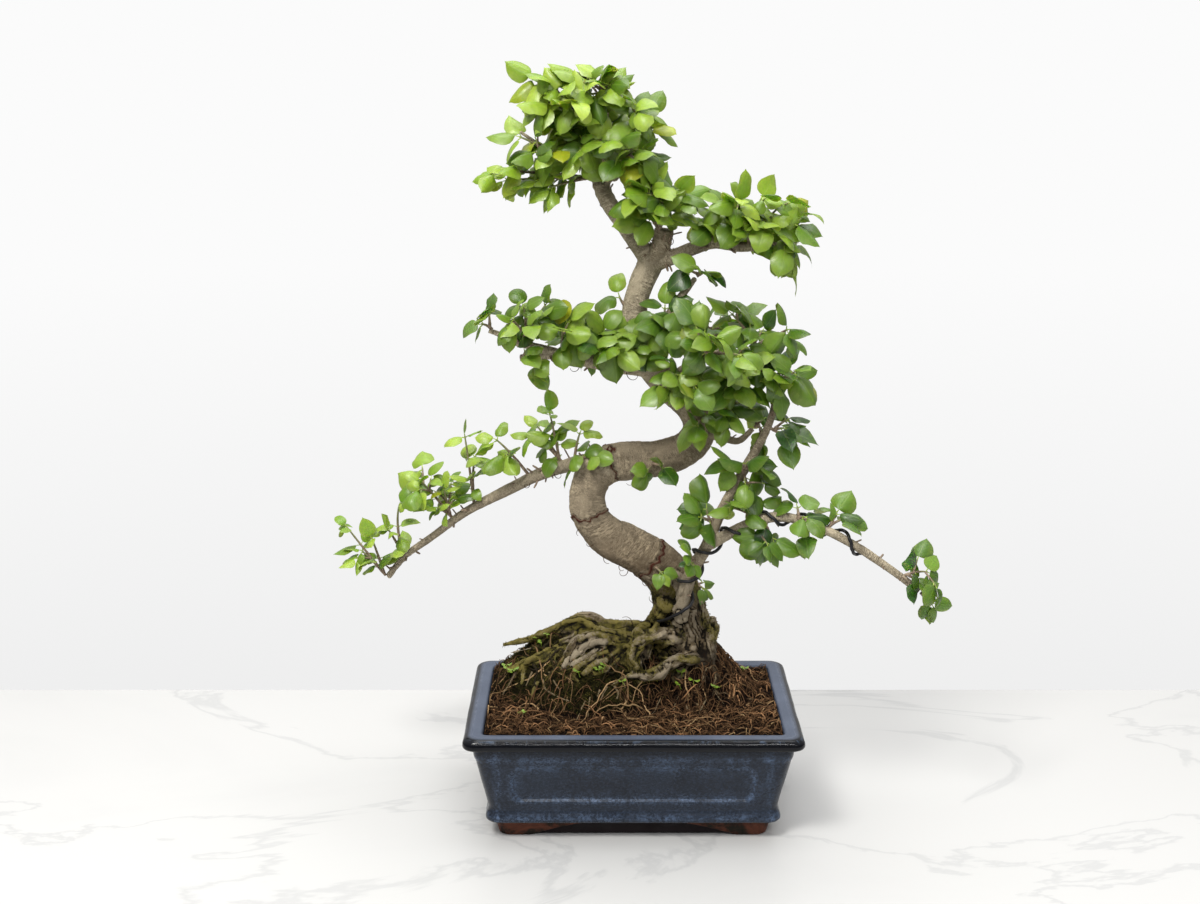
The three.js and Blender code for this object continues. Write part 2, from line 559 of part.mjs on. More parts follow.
// One closed mesh that grows by rings of four points, each counter-clockwise
// seen from the growing end. A side left open between two rings is a loop of
// four points, from which a leaf or another shoot can grow.
class Growth {
  points = [];
  faces = [];

  ring(points) {
    const first = this.points.length;
    this.points.push(...points);
    return points.map((_, i) => first + i);
  }

  facet(low, high, side, turned) {
    const next = (side + 1) % 4;
    const [a, b, c, d] = [low[side], low[next], high[next], high[side]];
    if (turned) this.faces.push(a, b, d, b, c, d);
    else this.faces.push(a, b, c, a, c, d);
  }

  // Turns a loop so that its corners face those of the ring that it grows to
  fitted(loop, ring) {
    const spokes = (corners) => {
      const middle = corners.reduce((sum, p) => sum.add(p), new THREE.Vector3()).divideScalar(4);
      return corners.map((p) => p.clone().sub(middle).normalize());
    };
    const from = spokes(loop.map((i) => this.points[i]));
    const to = spokes(ring);
    const match = (turn) => to.reduce((sum, spoke, i) => sum + spoke.dot(from[(i + turn) % 4]), 0);
    const turn = [0, 1, 2, 3].sort((m, n) => match(n) - match(m))[0];
    return loop.map((_, i) => loop[(i + turn) % 4]);
  }

  // From a loop through rings to a point. The diagonals of a blade run alike on
  // its two faces.
  blade(loop, rings, tip) {
    let low = this.fitted(loop, rings[0]);
    for (const points of rings) {
      const high = this.ring(points);
      for (let side = 0; side < 4; side++) this.facet(low, high, side, side % 2 === 1);
      low = high;
    }
    this.ring([tip]);
    const last = this.points.length - 1;
    for (let side = 0; side < 4; side++) this.faces.push(low[side], low[(side + 1) % 4], last);
  }

  geometry() {
    const geometry = new THREE.BufferGeometry().setFromPoints(this.points);
    geometry.setIndex(this.faces);
    return geometry;
  }
}

// A thin ovate blade, folded up along its midrib and curled down at its tip
function bladeShape({ root, axis, normal, length, broad, fold, curl }, grow = 0) {
  const side = new THREE.Vector3().crossVectors(normal, axis);
  const at = (share) =>
    root
      .clone()
      .addScaledVector(axis, length * share)
      .addScaledVector(normal, -length * curl * share * share);
  const rings = BLADE.map(([share, width]) => {
    const middle = at(share);
    const half = (broad * length * width) / 2 + grow;
    const lift = half * Math.tan(fold);
    const thick = LEAF.thick / 2 + grow;
    const edge = (sign) =>
      middle.clone().addScaledVector(side, sign * half).addScaledVector(normal, lift);
    return [
      edge(1),
      middle.clone().addScaledVector(normal, thick),
      edge(-1),
      middle.clone().addScaledVector(normal, -thick),
    ];
  });
  return { rings, tip: at(1).addScaledVector(axis, grow) };
}

function bladeSolid(leaf, grow = 0, foot = 0) {
  const { rings, tip } = bladeShape(leaf, grow);
  const base = leaf.root.clone().addScaledVector(leaf.axis, foot);
  return solidOf(skin(rings, base, tip, true));
}

// Where a spray leaves its limb, under the bark on the side that it grows to
function hubOf(host, start, tips) {
  const curve = new THREE.CatmullRomCurve3(host.points.map(vector));
  const steps = 60;
  let best = { distance: Infinity };
  for (let i = 0; i <= steps; i++) {
    const point = curve.getPoint(i / steps);
    const distance = point.distanceTo(start);
    if (distance < best.distance) best = { distance, share: i / steps, point };
  }
  const towards = new THREE.Vector3();
  for (const tip of tips) towards.add(tip.clone().sub(start).normalize());
  towards.normalize();
  const tangent = curve.getTangent(best.share);
  const place = best.share * (host.points.length - 1);
  const low = Math.min(Math.floor(place), host.points.length - 2);
  const radius = THREE.MathUtils.lerp(host.points[low][3], host.points[low + 1][3], place - low);
  const atEnd = best.share > 0.98 && towards.dot(tangent) > 0.2;
  const out = atEnd ? tangent : towards.clone().addScaledVector(tangent, -towards.dot(tangent));
  out.normalize();
  return { hub: best.point.clone().addScaledVector(out, radius / 2), out };
}

// From its foot to where the leaf at its end begins, which reaches the tip
function shootCurve(from, out, tip) {
  const whole = from.distanceTo(tip);
  const end = from.clone().lerp(tip, Math.max(SHOOT.least, 1 - SHOOT.endLeaf / whole));
  const length = from.distanceTo(end);
  const bend = from.clone().lerp(end, 0.5);
  bend.addScaledVector(out, SHOOT.lift * length).addScaledVector(UP, SHOOT.rise * length);
  return new THREE.QuadraticBezierCurve3(from, bend, end);
}

// The shoot's place, direction and two cross directions at a distance from its foot
function frameAt(shoot, distance) {
  const share = Math.min(distance / shoot.length, 1);
  const point = shoot.curve.getPointAt(share);
  const tangent = shoot.curve.getTangentAt(share);
  const u = new THREE.Vector3().crossVectors(shoot.side, tangent).normalize();
  const v = new THREE.Vector3().crossVectors(tangent, u);
  const radius = THREE.MathUtils.lerp(STEM.base, STEM.tip, share);
  return { point, tangent, u, v, radius };
}

// The direction that one of the four sides of a shoot faces
function faceOf(shoot, { u, v }, side) {
  const angle = shoot.roll + (side * Math.PI) / 2;
  return u.clone().multiplyScalar(Math.cos(angle)).addScaledVector(v, Math.sin(angle));
}

function sectionOf(shoot, distance, grow = 0) {
  const frame = frameAt(shoot, distance);
  return [0, 1, 2, 3].map((corner) =>
    frame.point.clone().addScaledVector(faceOf(shoot, frame, corner - 0.5), frame.radius + grow),
  );
}

function makeShoot(from, out, tip, seed) {
  const curve = shootCurve(from, out, tip);
  const side = new THREE.Vector3().crossVectors(curve.getTangent(0), curve.getTangent(1));
  if (side.length() < 0.02) side.crossVectors(curve.getTangent(0), new THREE.Vector3(0.3, -0.8, 0.5));
  side.normalize();
  const random = seeded(seed);
  const roll = random() * Math.PI;
  return { curve, side, roll, random, length: curve.getLength(), ports: [] };
}

function stemSolid(shoot, grow = 0) {
  const rings = [0, 0.5, 1].map((share) => sectionOf(shoot, share * shoot.length, grow));
  return solidOf(skin(rings, shoot.curve.getPoint(0), shoot.curve.getPoint(1)));
}

// One leaf that grows from a side of the shoot, or from its end where side is null
function makeLeaf(shoot, distance, side, size) {
  const { random } = shoot;
  const frame = frameAt(shoot, distance);
  const axis = frame.tangent.clone();
  const root = frame.point.clone();
  if (side !== null) {
    const face = faceOf(shoot, frame, side);
    const spread = THREE.MathUtils.degToRad(48 + 16 * random());
    axis.multiplyScalar(Math.cos(spread)).addScaledVector(face, Math.sin(spread));
    root.addScaledVector(face, frame.radius * Math.SQRT1_2);
  }
  axis.z -= 0.05 + 0.25 * random();
  axis.normalize();
  const normal = new THREE.Vector3(root.x, root.y, 0).normalize().multiplyScalar(0.4);
  normal.add(new THREE.Vector3(0.6 * (random() - 0.5), 0.6 * (random() - 0.5) - 0.35, 0.75));
  normal.addScaledVector(axis, -normal.dot(axis)).normalize();
  normal.applyAxisAngle(axis, THREE.MathUtils.degToRad(40 * (random() - 0.5)));
  return {
    root,
    axis,
    normal,
    length: LEAF.length * size * (0.85 + 0.3 * random()),
    broad: LEAF.broad * (0.92 + 0.16 * random()),
    fold: THREE.MathUtils.degToRad(13 + 14 * random()),
    curl: 0.08 + 0.16 * random(),
  };
}

// What is placed so far, to test each new stem and leaf against
const placed = [];

function boxOf(solid) {
  const { min, max } = solid.boundingBox();
  return new THREE.Box3(new THREE.Vector3(...min), new THREE.Vector3(...max));
}

function place(owner, solid) {
  placed.push({ owner, solid, box: boxOf(solid) });
}

function isClear(solid, skip) {
  const box = boxOf(solid);
  return placed.every((other) => {
    if (skip(other) || !other.box.intersectsBox(box)) return true;
    const common = other.solid.intersect(solid);
    const clear = common.isEmpty();
    common.delete();
    return clear;
  });
}

// The shoots of a spray: the first grows from the hub and the others from its foot
function shootsFrom(hub, out, tips, seed) {
  const main = makeShoot(hub, out, tips[0], seed);
  const shoots = [main];
  tips.slice(1).forEach((tip, i) => {
    const distance = SHOOT.port * (0.5 + Math.floor(i / 2));
    const frame = frameAt(main, distance);
    const towards = tip.clone().sub(frame.point);
    const taken = main.ports.filter((port) => port.distance === distance).map((port) => port.side);
    const side = [0, 1, 2, 3]
      .filter((n) => !taken.includes(n))
      .sort((m, n) => faceOf(main, frame, n).dot(towards) - faceOf(main, frame, m).dot(towards))[0];
    const face = faceOf(main, frame, side);
    const foot = frame.point.clone().addScaledVector(face, frame.radius * Math.SQRT1_2);
    const shoot = makeShoot(foot, face, tip, seed + i + 1);
    main.ports.push({ distance, side, shoot });
    shoots.push(shoot);
  });
  return shoots;
}

// A spray's shoots, with its hub moved out until they are clear of the bark
function makeShoots([hostName, start, ...ends], index) {
  const host = WOOD.find(({ name }) => name === hostName);
  const tips = ends.map(vector);
  const { hub, out } = hubOf(host, vector(start), tips);
  const ownSpray = ({ owner }) => owner === index;
  const clear = (shoot) => isClear(stemSolid(shoot, 0.9 * GAP), ownSpray);
  let shoots = shootsFrom(hub, out, tips, index * 10);
  while (!shoots.every(clear)) {
    hub.addScaledVector(out, GAP / 4);
    shoots = shootsFrom(hub.clone(), out, tips, index * 10);
  }
  for (const shoot of shoots) {
    shoot.stem = stemSolid(shoot);
    place(index, shoot.stem);
  }
  return shoots;
}

// Leaves at a shoot's tip and in pairs down from it, each pair at right angles
// to the last. A leaf that would cross what is already there is left out.
function addLeaves(shoot, index) {
  const ownStem = ({ solid }) => solid === shoot.stem;
  const allOthers = ({ solid }) => solid !== shoot.stem;
  const tryLeaf = (distance, side, size) => {
    const leaf = makeLeaf(shoot, distance, side, size);
    if (!isClear(bladeSolid(leaf, LEAF.room), ownStem)) return;
    if (!isClear(bladeSolid(leaf, GAP, LEAF.foot), allOthers)) return;
    place(index, bladeSolid(leaf));
    if (side === null) shoot.end = leaf;
    else shoot.ports.push({ distance, side, leaf });
  };
  tryLeaf(shoot.length, null, 0.8);
  const foot = shoot.ports.reduce((most, port) => Math.max(most, port.distance), 0) + SHOOT.port * 2;
  for (let pair = 0; ; pair++) {
    const back = SHOOT.port / 2 + pair * SHOOT.pitch;
    const distance = shoot.length - back;
    if (back > SHOOT.leafy * shoot.length || distance < foot) break;
    const size = pair ? 1 : 0.85;
    tryLeaf(distance, pair % 2, size);
    tryLeaf(distance, (pair % 2) + 2, size);
  }
}

// The shoot's rings, with its leaves and side shoots grown from their openings
function growShoot(body, shoot, loop) {
  const half = SHOOT.port / 2;
  const ends = shoot.ports.flatMap(({ distance }) => [distance - half, distance + half]);
  const same = (a, b) => Math.abs(a - b) < 1e-3;
  const stations = [0, ...ends, shoot.length]
    .sort((a, b) => a - b)
    .filter((distance, i, all) => !i || !same(distance, all[i - 1]));
  const rings = stations.map((distance) => sectionOf(shoot, distance));
  let low;
  if (loop) low = body.fitted(loop, rings[1]);
  else {
    low = body.ring(rings[0]);
    body.faces.push(low[0], low[2], low[1], low[0], low[3], low[2]);
  }
  const open = [];
  for (let i = 1; i < rings.length; i++) {
    const high = body.ring(rings[i]);
    for (let side = 0; side < 4; side++) {
      const port = shoot.ports.find((p) => p.side === side && same(p.distance - half, stations[i - 1]));
      const next = (side + 1) % 4;
      if (port) open.push([port, [low[side], low[next], high[next], high[side]]]);
      else body.facet(low, high, side, false);
    }
    low = high;
  }
  if (shoot.end) {
    const { rings: blade, tip } = bladeShape(shoot.end);
    body.blade(low, blade, tip);
  } else body.faces.push(low[0], low[1], low[2], low[0], low[2], low[3]);
  for (const [{ leaf, shoot: branch }, gap] of open) {
    if (branch) growShoot(body, branch, gap);
    else {
      const { rings: blade, tip } = bladeShape(leaf);
      body.blade(gap, blade, tip);
    }
  }
}

function makeSprays() {
  const sprays = SPRAYS.map(makeShoots);
  sprays.forEach((shoots, index) => shoots.forEach((shoot) => addLeaves(shoot, index)));
  return sprays.map(([main], index) => {
    const body = new Growth();
    growShoot(body, main, null);
    return [`spray_${SPRAYS[index][0]}_${index + 1}`, solidOf(body.geometry())];
  });
}

// The whole object

const CLAY = { color: 0x1d2a4a, roughness: 0.25, metalness: 0 };
const EARTH = { color: 0x5a3a24, roughness: 0.95, metalness: 0 };
const PLASTIC = { color: 0x20221f, roughness: 0.6, metalness: 0 };
const BARK = { color: 0x85745e, roughness: 0.9, metalness: 0 };
const ANODISED = { color: 0x1b1b1d, roughness: 0.4, metalness: 0.6 };
const LEAFY = { color: 0x4f8a2c, roughness: 0.4, metalness: 0 };

const bonsai = new THREE.Group();
for (const piece of WOOD) place(piece.name, woodSolid(piece));
const trunk = join([...placed.map(({ solid }) => solid), ...ROOT_WOOD.map((piece) => woodSolid(piece))]);
const soil = makeSoil([WOOD[0], ...ROOT_WOOD].map((piece) => woodSolid(piece, GAP)));
const wire = makeWire();
place("wire", wire);
place("soil", soil);
bonsai.add(meshOf("pot", makePot(), CLAY));
bonsai.add(meshOf("soil", soil, EARTH));
bonsai.add(meshOf("drain_mesh_left", makeDrainMesh(-DRAIN.x), PLASTIC));
bonsai.add(meshOf("drain_mesh_right", makeDrainMesh(DRAIN.x), PLASTIC));
bonsai.add(meshOf("trunk", trunk, BARK));
bonsai.add(meshOf("training_wire", wire, ANODISED));
for (const [name, solid] of makeSprays()) bonsai.add(meshOf(name, solid, LEAFY));

export default bonsai;
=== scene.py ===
"""A bonsai tree in a glazed pot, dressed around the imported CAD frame.

Lengths in the tables are millimetres in the frame's own axes: +Z up, front towards -Y,
origin under the middle of the pot. They become metres when a mesh is made.
"""

import math

import bmesh
import bpy
import numpy as np
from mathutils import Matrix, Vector, noise
from mathutils.bvhtree import BVHTree
from mathutils.kdtree import KDTree


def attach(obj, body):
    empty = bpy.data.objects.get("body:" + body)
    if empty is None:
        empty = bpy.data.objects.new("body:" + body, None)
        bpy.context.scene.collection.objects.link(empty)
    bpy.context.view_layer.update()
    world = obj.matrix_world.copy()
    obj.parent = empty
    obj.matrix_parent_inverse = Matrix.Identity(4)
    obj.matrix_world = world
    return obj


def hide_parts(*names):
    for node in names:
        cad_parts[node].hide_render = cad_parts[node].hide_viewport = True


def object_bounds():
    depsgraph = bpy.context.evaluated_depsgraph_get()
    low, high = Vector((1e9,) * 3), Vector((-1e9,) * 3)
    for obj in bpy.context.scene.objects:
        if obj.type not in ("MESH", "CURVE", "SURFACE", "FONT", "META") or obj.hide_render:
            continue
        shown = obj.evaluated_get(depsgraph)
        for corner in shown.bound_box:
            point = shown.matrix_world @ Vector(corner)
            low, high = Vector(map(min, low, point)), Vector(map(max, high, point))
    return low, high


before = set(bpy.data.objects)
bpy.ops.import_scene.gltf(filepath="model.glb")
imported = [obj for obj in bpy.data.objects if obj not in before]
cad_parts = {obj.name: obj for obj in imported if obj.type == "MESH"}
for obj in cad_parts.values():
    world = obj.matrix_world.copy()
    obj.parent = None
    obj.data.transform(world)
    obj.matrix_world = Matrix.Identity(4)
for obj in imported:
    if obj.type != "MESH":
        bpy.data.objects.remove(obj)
cad_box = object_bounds()

MM = 0.001
PHOTO = {"width": 1200, "height": 904}
CAMERA = {"place": (-24.6, -1316.5, 576.5), "pitch": 12.76, "lens": 54.18, "sensor": 36.0}
PITCH = math.radians(CAMERA["pitch"])
# The camera's focal length in pixels of the photo
FOCAL = CAMERA["lens"] / CAMERA["sensor"] * PHOTO["width"]

# The tree's tables

# The wood: points along each limb as x, y, z and the radius there
TRUNK = [
    (40, 30, 91, 31), (39, 29, 111, 27), (39, 27, 134, 22), (36, 24, 155, 19.5),
    (28, 21, 174, 18), (14, 18, 189, 17), (-2, 15, 200, 16.5), (-19, 12, 210, 15.5),
    (-31, 10, 225, 13.5), (-34, 9, 242, 13), (-29, 11, 258, 14), (-16, 13, 267, 14.5),
    (0, 14, 268, 14.5), (20, 14, 270, 13.5), (40, 13, 277, 13), (50, 11, 293, 12.5),
    (44, 9, 310, 12), (28, 7, 326, 11.5), (14, 5, 343, 11), (6, 4, 362, 10),
    (1, 3, 383, 9.5), (5, 2, 401, 8.8), (13, 2, 420, 9.4),
]
LIMBS = {
    "apex": [
        (13, 2, 420, 8), (5, 1, 431, 6.8), (-7, 2, 447, 6.3), (-19, 4, 465, 6),
        (-25, 5, 480, 6), (-26, 6, 492, 4.5), (-22, 4, 512, 3), (-20, 2, 537, 2),
        (-20, 0, 548, 1.4),
    ],
    "apexLeft": [
        (-25, 5, 481, 3.5), (-30, 4, 490, 2.5), (-43, 2, 493, 2), (-56, 0, 496, 1.8),
        (-71, -4, 507, 1.5), (-82, -8, 515, 1.2),
    ],
    "apexRight": [
        (-22, 4, 480, 3.5), (-14, 0, 482, 3), (-7, -4, 489, 2.4), (-2, -8, 509, 1.8),
        (2, -12, 527, 1.4),
    ],
    "stub": [(16, 0, 422, 8), (20, -3, 434, 7.2), (22, -4, 445, 7.2)],
    "upperRight": [
        (16, 0, 421, 7.5), (30, -4, 425, 5.6), (42, -8, 431, 5), (58, -10, 436, 5),
        (75, -10, 433, 4), (90, -10, 433, 3.2), (104, -10, 434, 2.3),
    ],
    "lowerLeft": [
        (-22, 12, 265, 9), (-35, 16, 267, 6.4), (-51, 20, 263, 5.2), (-74, 28, 253, 4.8),
        (-93, 34, 242, 4.4), (-110, 40, 232, 4), (-131, 46, 219, 3.4), (-157, 52, 198, 2.9),
        (-179, 56, 181, 2.6), (-193, 58, 164, 2.1),
    ],
    "midLeft": [
        (14, 2, 342, 8), (-2, -4, 344, 6.5), (-25, -10, 348, 5.6), (-43, -14, 352, 5),
        (-57, -17, 355, 4), (-83, -20, 353, 2.6),
    ],
    "midLeftTop": [
        (-50, -15, 354, 4), (-70, -20, 361, 3), (-86, -22, 365, 2.6), (-97, -24, 371, 2.2),
        (-105, -25, 374, 1.8),
    ],
    "midRight": [
        (44, 6, 309, 8), (61, -8, 326, 6), (76, -16, 342, 5), (89, -22, 359, 4),
        (102, -26, 371, 2.4),
    ],
    "midUp": [(9, 4, 355, 7), (22, -12, 376, 4.5), (34, -20, 398, 3), (44, -24, 412, 2)],
    "midFront": [(27, 0, 327, 7), (35, -28, 344, 4.5), (47, -48, 356, 3.4), (61, -62, 365, 2.2)],
    "midBack": [(11, 8, 353, 7), (24, 36, 353, 4.8), (46, 62, 355, 3.6), (71, 82, 354, 2.4)],
    "lowRight": [(53, 8, 292, 5), (66, 0, 290, 3.2), (78, -5, 288, 2.6), (89, -4, 297, 2)],
    "sucker": [
        (37, 3, 147, 5.6), (39, -4, 168, 5.2), (45, -14, 191, 5), (54, -22, 210, 4.6),
        (64, -25, 237, 4), (81, -25, 270, 3.6), (95, -22, 295, 3.2), (101, -20, 309, 2.8),
        (105, -18, 333, 2),
    ],
    "wired": [
        (57, -25, 213, 3.8), (65, -30, 220, 4.2), (81, -34, 230, 4), (97, -37, 237, 3.8),
        (113, -39, 238, 3.6), (127, -40, 234, 3.5), (143, -41, 228, 3.4), (163, -42, 217, 3.3),
        (181, -42, 205, 3.1), (199, -42, 192, 2.9), (210, -42, 183, 2.6),
    ],
}
ROOTS = {
    "left": [
        (24, 26, 122, 12), (-1, 30, 126, 10), (-22, 33, 127, 9.5), (-40, 34, 132, 8.5),
        (-54, 34, 128, 6), (-69, 34, 123, 3.6), (-86, 33, 119, 2.4), (-101, 32, 116, 1.5),
    ],
    "grey": [
        (14, 16, 117, 10), (-12, 13, 124, 8.5), (-27, 11, 128, 7.5), (-40, 9, 123, 6.5),
        (-50, 8, 110, 5), (-56, 6, 98, 3),
    ],
    "moss": [(6, 12, 112, 9), (-15, 8, 114, 9), (-28, 4, 107, 7.5), (-37, 0, 97, 5.5), (-43, -3, 87, 3)],
    "loop": [
        (31, 6, 132, 7), (15, 0, 134, 5.8), (5, -3, 131, 5.6), (1, -4, 120, 5.2),
        (4, -4, 106, 4.8), (5, -3, 96, 3),
    ],
    "front": [
        (56, 8, 110, 5), (45, 2, 116, 4.4), (34, -2, 115, 4.4), (24, -4, 109, 5),
        (10, -4, 103, 4), (-8, -3, 99, 3), (-20, -2, 91, 2),
    ],
    "mid": [(-8, 26, 121, 9), (-30, 24, 116, 7), (-54, 20, 113, 5), (-77, 16, 108, 4), (-97, 12, 102, 2.4)],
    "right": [(55, 22, 127, 10), (58, 14, 116, 8), (60, 8, 105, 5), (63, 2, 96, 3)],
    "back": [(36, 44, 116, 11), (27, 60, 108, 8), (21, 72, 94, 4)],
    "backLeft": [(7, 38, 118, 10), (-21, 54, 113, 8), (-46, 66, 98, 4)],
    "backRight": [(50, 40, 117, 10), (65, 54, 104, 7), (74, 64, 89, 3.5)],
}

# Each spray: the limb that it grows from, where, and the tips of its shoots
SPRAYS = [
    ("lowerLeft", (-193, 58, 164), (-233, 60, 216), (-208, 52, 210)),
    ("lowerLeft", (-179, 56, 181), (-182, 52, 238), (-196, 48, 216)),
    ("lowerLeft", (-140, 47, 216), (-172, 44, 256), (-160, 34, 233), (-148, 38, 252), (-140, 60, 254)),
    ("lowerLeft", (-121, 44, 226), (-120, 46, 279), (-130, 38, 296)),
    ("lowerLeft", (-78, 28, 252), (-113, 24, 293)),
    ("lowerLeft", (-53, 20, 262), (-88, 24, 296), (-65, 14, 318), (-80, 36, 302)),
    ("lowerLeft", (-44, 15, 266), (-37, 6, 305), (-20, -8, 280), (-46, 2, 256)),
    ("midLeftTop", (-104, -25, 373), (-120, -28, 384), (-105, -22, 397)),
    ("midLeftTop", (-79, -21, 363), (-81, -22, 405), (-93, -42, 394), (-64, -30, 394), (-57, -6, 402)),
    ("midLeft", (-80, -20, 354), (-76, -36, 367), (-62, -34, 344)),
    ("midLeft", (-52, -17, 355), (-43, -16, 395), (-52, -48, 385)),
    ("midLeft", (-23, -10, 348), (-28, -14, 383), (-33, -42, 373), (-18, -50, 369),
     (-32, 26, 365), (-13, -20, 382), (-50, 20, 364)),
    ("midLeft", (-3, -5, 344), (8, -36, 372), (-6, -34, 376)),
    ("trunk", (-5, 4, 388), (-16, 0, 405)),
    ("midUp", (44, -24, 412), (60, -26, 420), (46, -38, 424), (32, -16, 419)),
    ("midUp", (25, -14, 381), (21, -26, 402), (41, -38, 395), (24, -48, 374), (8, -34, 386)),
    ("midRight", (90, -22, 361), (80, -26, 391), (62, -16, 396), (100, -16, 383)),
    ("midRight", (102, -26, 370), (123, -22, 359), (116, -40, 381)),
    ("midRight", (81, -18, 348), (130, -34, 337), (110, -46, 346)),
    ("midRight", (69, -12, 335), (76, -46, 372), (62, -34, 371), (81, -48, 335), (66, -60, 354)),
    ("midFront", (55, -56, 361), (39, -76, 377), (55, -92, 385), (80, -98, 368)),
    ("midFront", (38, -30, 344), (26, -64, 349), (19, -58, 365), (32, -56, 330), (50, -66, 335)),
    ("trunk", (46, 6, 302), (56, -36, 316), (45, -38, 305)),
    ("midRight", (58, -5, 323), (94, -24, 321), (80, -34, 311)),
    ("midBack", (27, 40, 353), (13, 48, 376), (38, 58, 372), (58, 50, 370), (14, 78, 344)),
    ("midBack", (63, 76, 354), (53, 68, 377), (35, 92, 358), (65, 106, 352), (92, 97, 356)),
    ("lowRight", (89, -4, 297), (104, -6, 313), (90, 10, 314), (101, 4, 292)),
    ("trunk", (17, 6, 265), (5, -20, 262), (29, -20, 269)),
    ("sucker", (82, -25, 272), (61, -34, 277), (84, -38, 284), (106, -30, 275), (90, -30, 243)),
    ("sucker", (98, -21, 302), (124, -20, 284), (117, -28, 304), (124, -12, 314)),
    ("sucker", (105, -18, 333), (110, -12, 352), (98, -24, 350)),
    ("sucker", (61, -27, 228), (50, -32, 256), (40, -42, 243)),
    ("sucker", (49, -18, 199), (38, -40, 218), (42, -40, 200)),
    ("trunk", (14, 18, 189), (29, -14, 181)),
    ("trunk", (45, 22, 168), (65, 14, 163), (62, 30, 170)),
    ("wired", (98, -37, 237), (86, -50, 214), (108, -46, 210)),
    ("wired", (86, -35, 233), (80, -42, 254), (100, -30, 255)),
    ("wired", (120, -39, 237), (130, -56, 244), (130, -50, 214), (118, -36, 256)),
    ("wired", (141, -41, 228), (167, -40, 243), (154, -34, 252)),
    ("wired", (198, -42, 193), (230, -40, 199), (217, -48, 187)),
    ("wired", (210, -42, 184), (230, -42, 162), (222, -34, 163)),
    ("upperRight", (61, -10, 436), (64, -14, 470), (45, -22, 458)),
    ("upperRight", (71, -10, 434), (80, -8, 475), (94, 30, 460), (65, 18, 461)),
    ("upperRight", (82, -10, 433), (94, -16, 481), (74, -40, 454), (114, -8, 472), (99, -40, 459)),
    ("upperRight", (104, -10, 434), (121, -18, 461), (110, -34, 447), (118, -14, 422), (110, 10, 441)),
    ("stub", (22, -4, 444), (11, -20, 479), (30, -22, 469), (4, -26, 464)),
    ("apex", (-29, 5, 482), (-107, 0, 479), (-73, -12, 472)),
    ("apexLeft", (-56, 0, 496), (-94, -12, 518), (-81, -26, 503), (-53, -30, 506)),
    ("apexLeft", (-36, 3, 491), (-55, -8, 529), (-43, -40, 504)),
    ("apex", (-22, 4, 513), (-67, -6, 555), (-53, -32, 542), (-57, 26, 523)),
    ("apex", (-20, 2, 539), (-33, -8, 562), (-7, 0, 561), (-36, -34, 542), (-16, -32, 549)),
    ("apexRight", (0, -10, 517), (19, -12, 538), (26, -4, 517), (-4, -38, 545)),
    ("apexRight", (-6, -6, 495), (20, -14, 502), (8, -30, 488), (-16, -38, 497), (-18, -44, 516)),
    ("apex", (-24, 5, 502), (-33, 40, 536), (-10, 40, 533), (-44, 44, 506), (-13, 50, 506)),
]


# Curves and meshes


def unit(v):
    return v / np.maximum(np.linalg.norm(v, axis=-1, keepdims=True), 1e-9)


def bell(x, middle, width):
    """1 at the middle, and less to both sides."""
    return np.exp(-(((x - middle) / width) ** 2))


def between(x, low, high):
    """The share of the way from low to high, held between 0 and 1."""
    return np.clip((x - low) / (high - low), 0, 1)


def grains(points, scale):
    """Blender's noise at each point, with the points scaled first."""
    return np.array([noise.noise(Vector(p) * scale) for p in points])


def spline(points, spacing):
    """A centripetal Catmull-Rom path through x, y, z, radius rows."""
    table = np.array(points, float)
    xyz = table[:, :3]
    padded = np.vstack([2 * xyz[0] - xyz[1], xyz, 2 * xyz[-1] - xyz[-2]])
    rows = []
    for i in range(len(xyz) - 1):
        p0, p1, p2, p3 = padded[i : i + 4]
        d0, d1, d2 = (np.linalg.norm(b - a) ** 0.5 for a, b in ((p0, p1), (p1, p2), (p2, p3)))
        t1 = ((p1 - p0) / d0 - (p2 - p0) / (d0 + d1) + (p2 - p1) / d1) * d1
        t2 = ((p2 - p1) / d1 - (p3 - p1) / (d1 + d2) + (p3 - p2) / d2) * d1
        steps = max(2, round(float(np.linalg.norm(p2 - p1)) / spacing))
        s = np.linspace(0, 1, steps, endpoint=False)[:, None]
        place = p1 + t1 * s + (-3 * p1 + 3 * p2 - 2 * t1 - t2) * s**2
        place += (2 * p1 - 2 * p2 + t1 + t2) * s**3
        ease = s * s * (3 - 2 * s)
        radius = table[i, 3] + (table[i + 1, 3] - table[i, 3]) * (0.5 * s + 0.5 * ease)
        rows.append(np.hstack([place, radius]))
    rows.append(table[-1:])
    return np.vstack(rows)


def tangents(path):
    return unit(np.gradient(path, axis=0))


def distances(path):
    """How far along a path each of its points is."""
    return np.concatenate([[0], np.cumsum(np.linalg.norm(np.diff(path, axis=0), axis=1))])


def carried_frames(path):
    """Two cross directions along a path, turned no more than the path turns."""
    along = tangents(path)
    normals = [unit(np.cross(along[0], (0.3, -0.9, 0.2)))]
    for t in along[1:]:
        normals.append(unit(normals[-1] - np.dot(normals[-1], t) * t))
    normals = np.array(normals)
    return along, normals, np.cross(along, normals)


def point_tree(points):
    tree = KDTree(len(points))
    for i, p in enumerate(points):
        tree.insert(p, i)
    tree.balance()
    return tree


def add_object(name, data):
    obj = bpy.data.objects.new(name, data)
    bpy.context.scene.collection.objects.link(obj)
    return obj


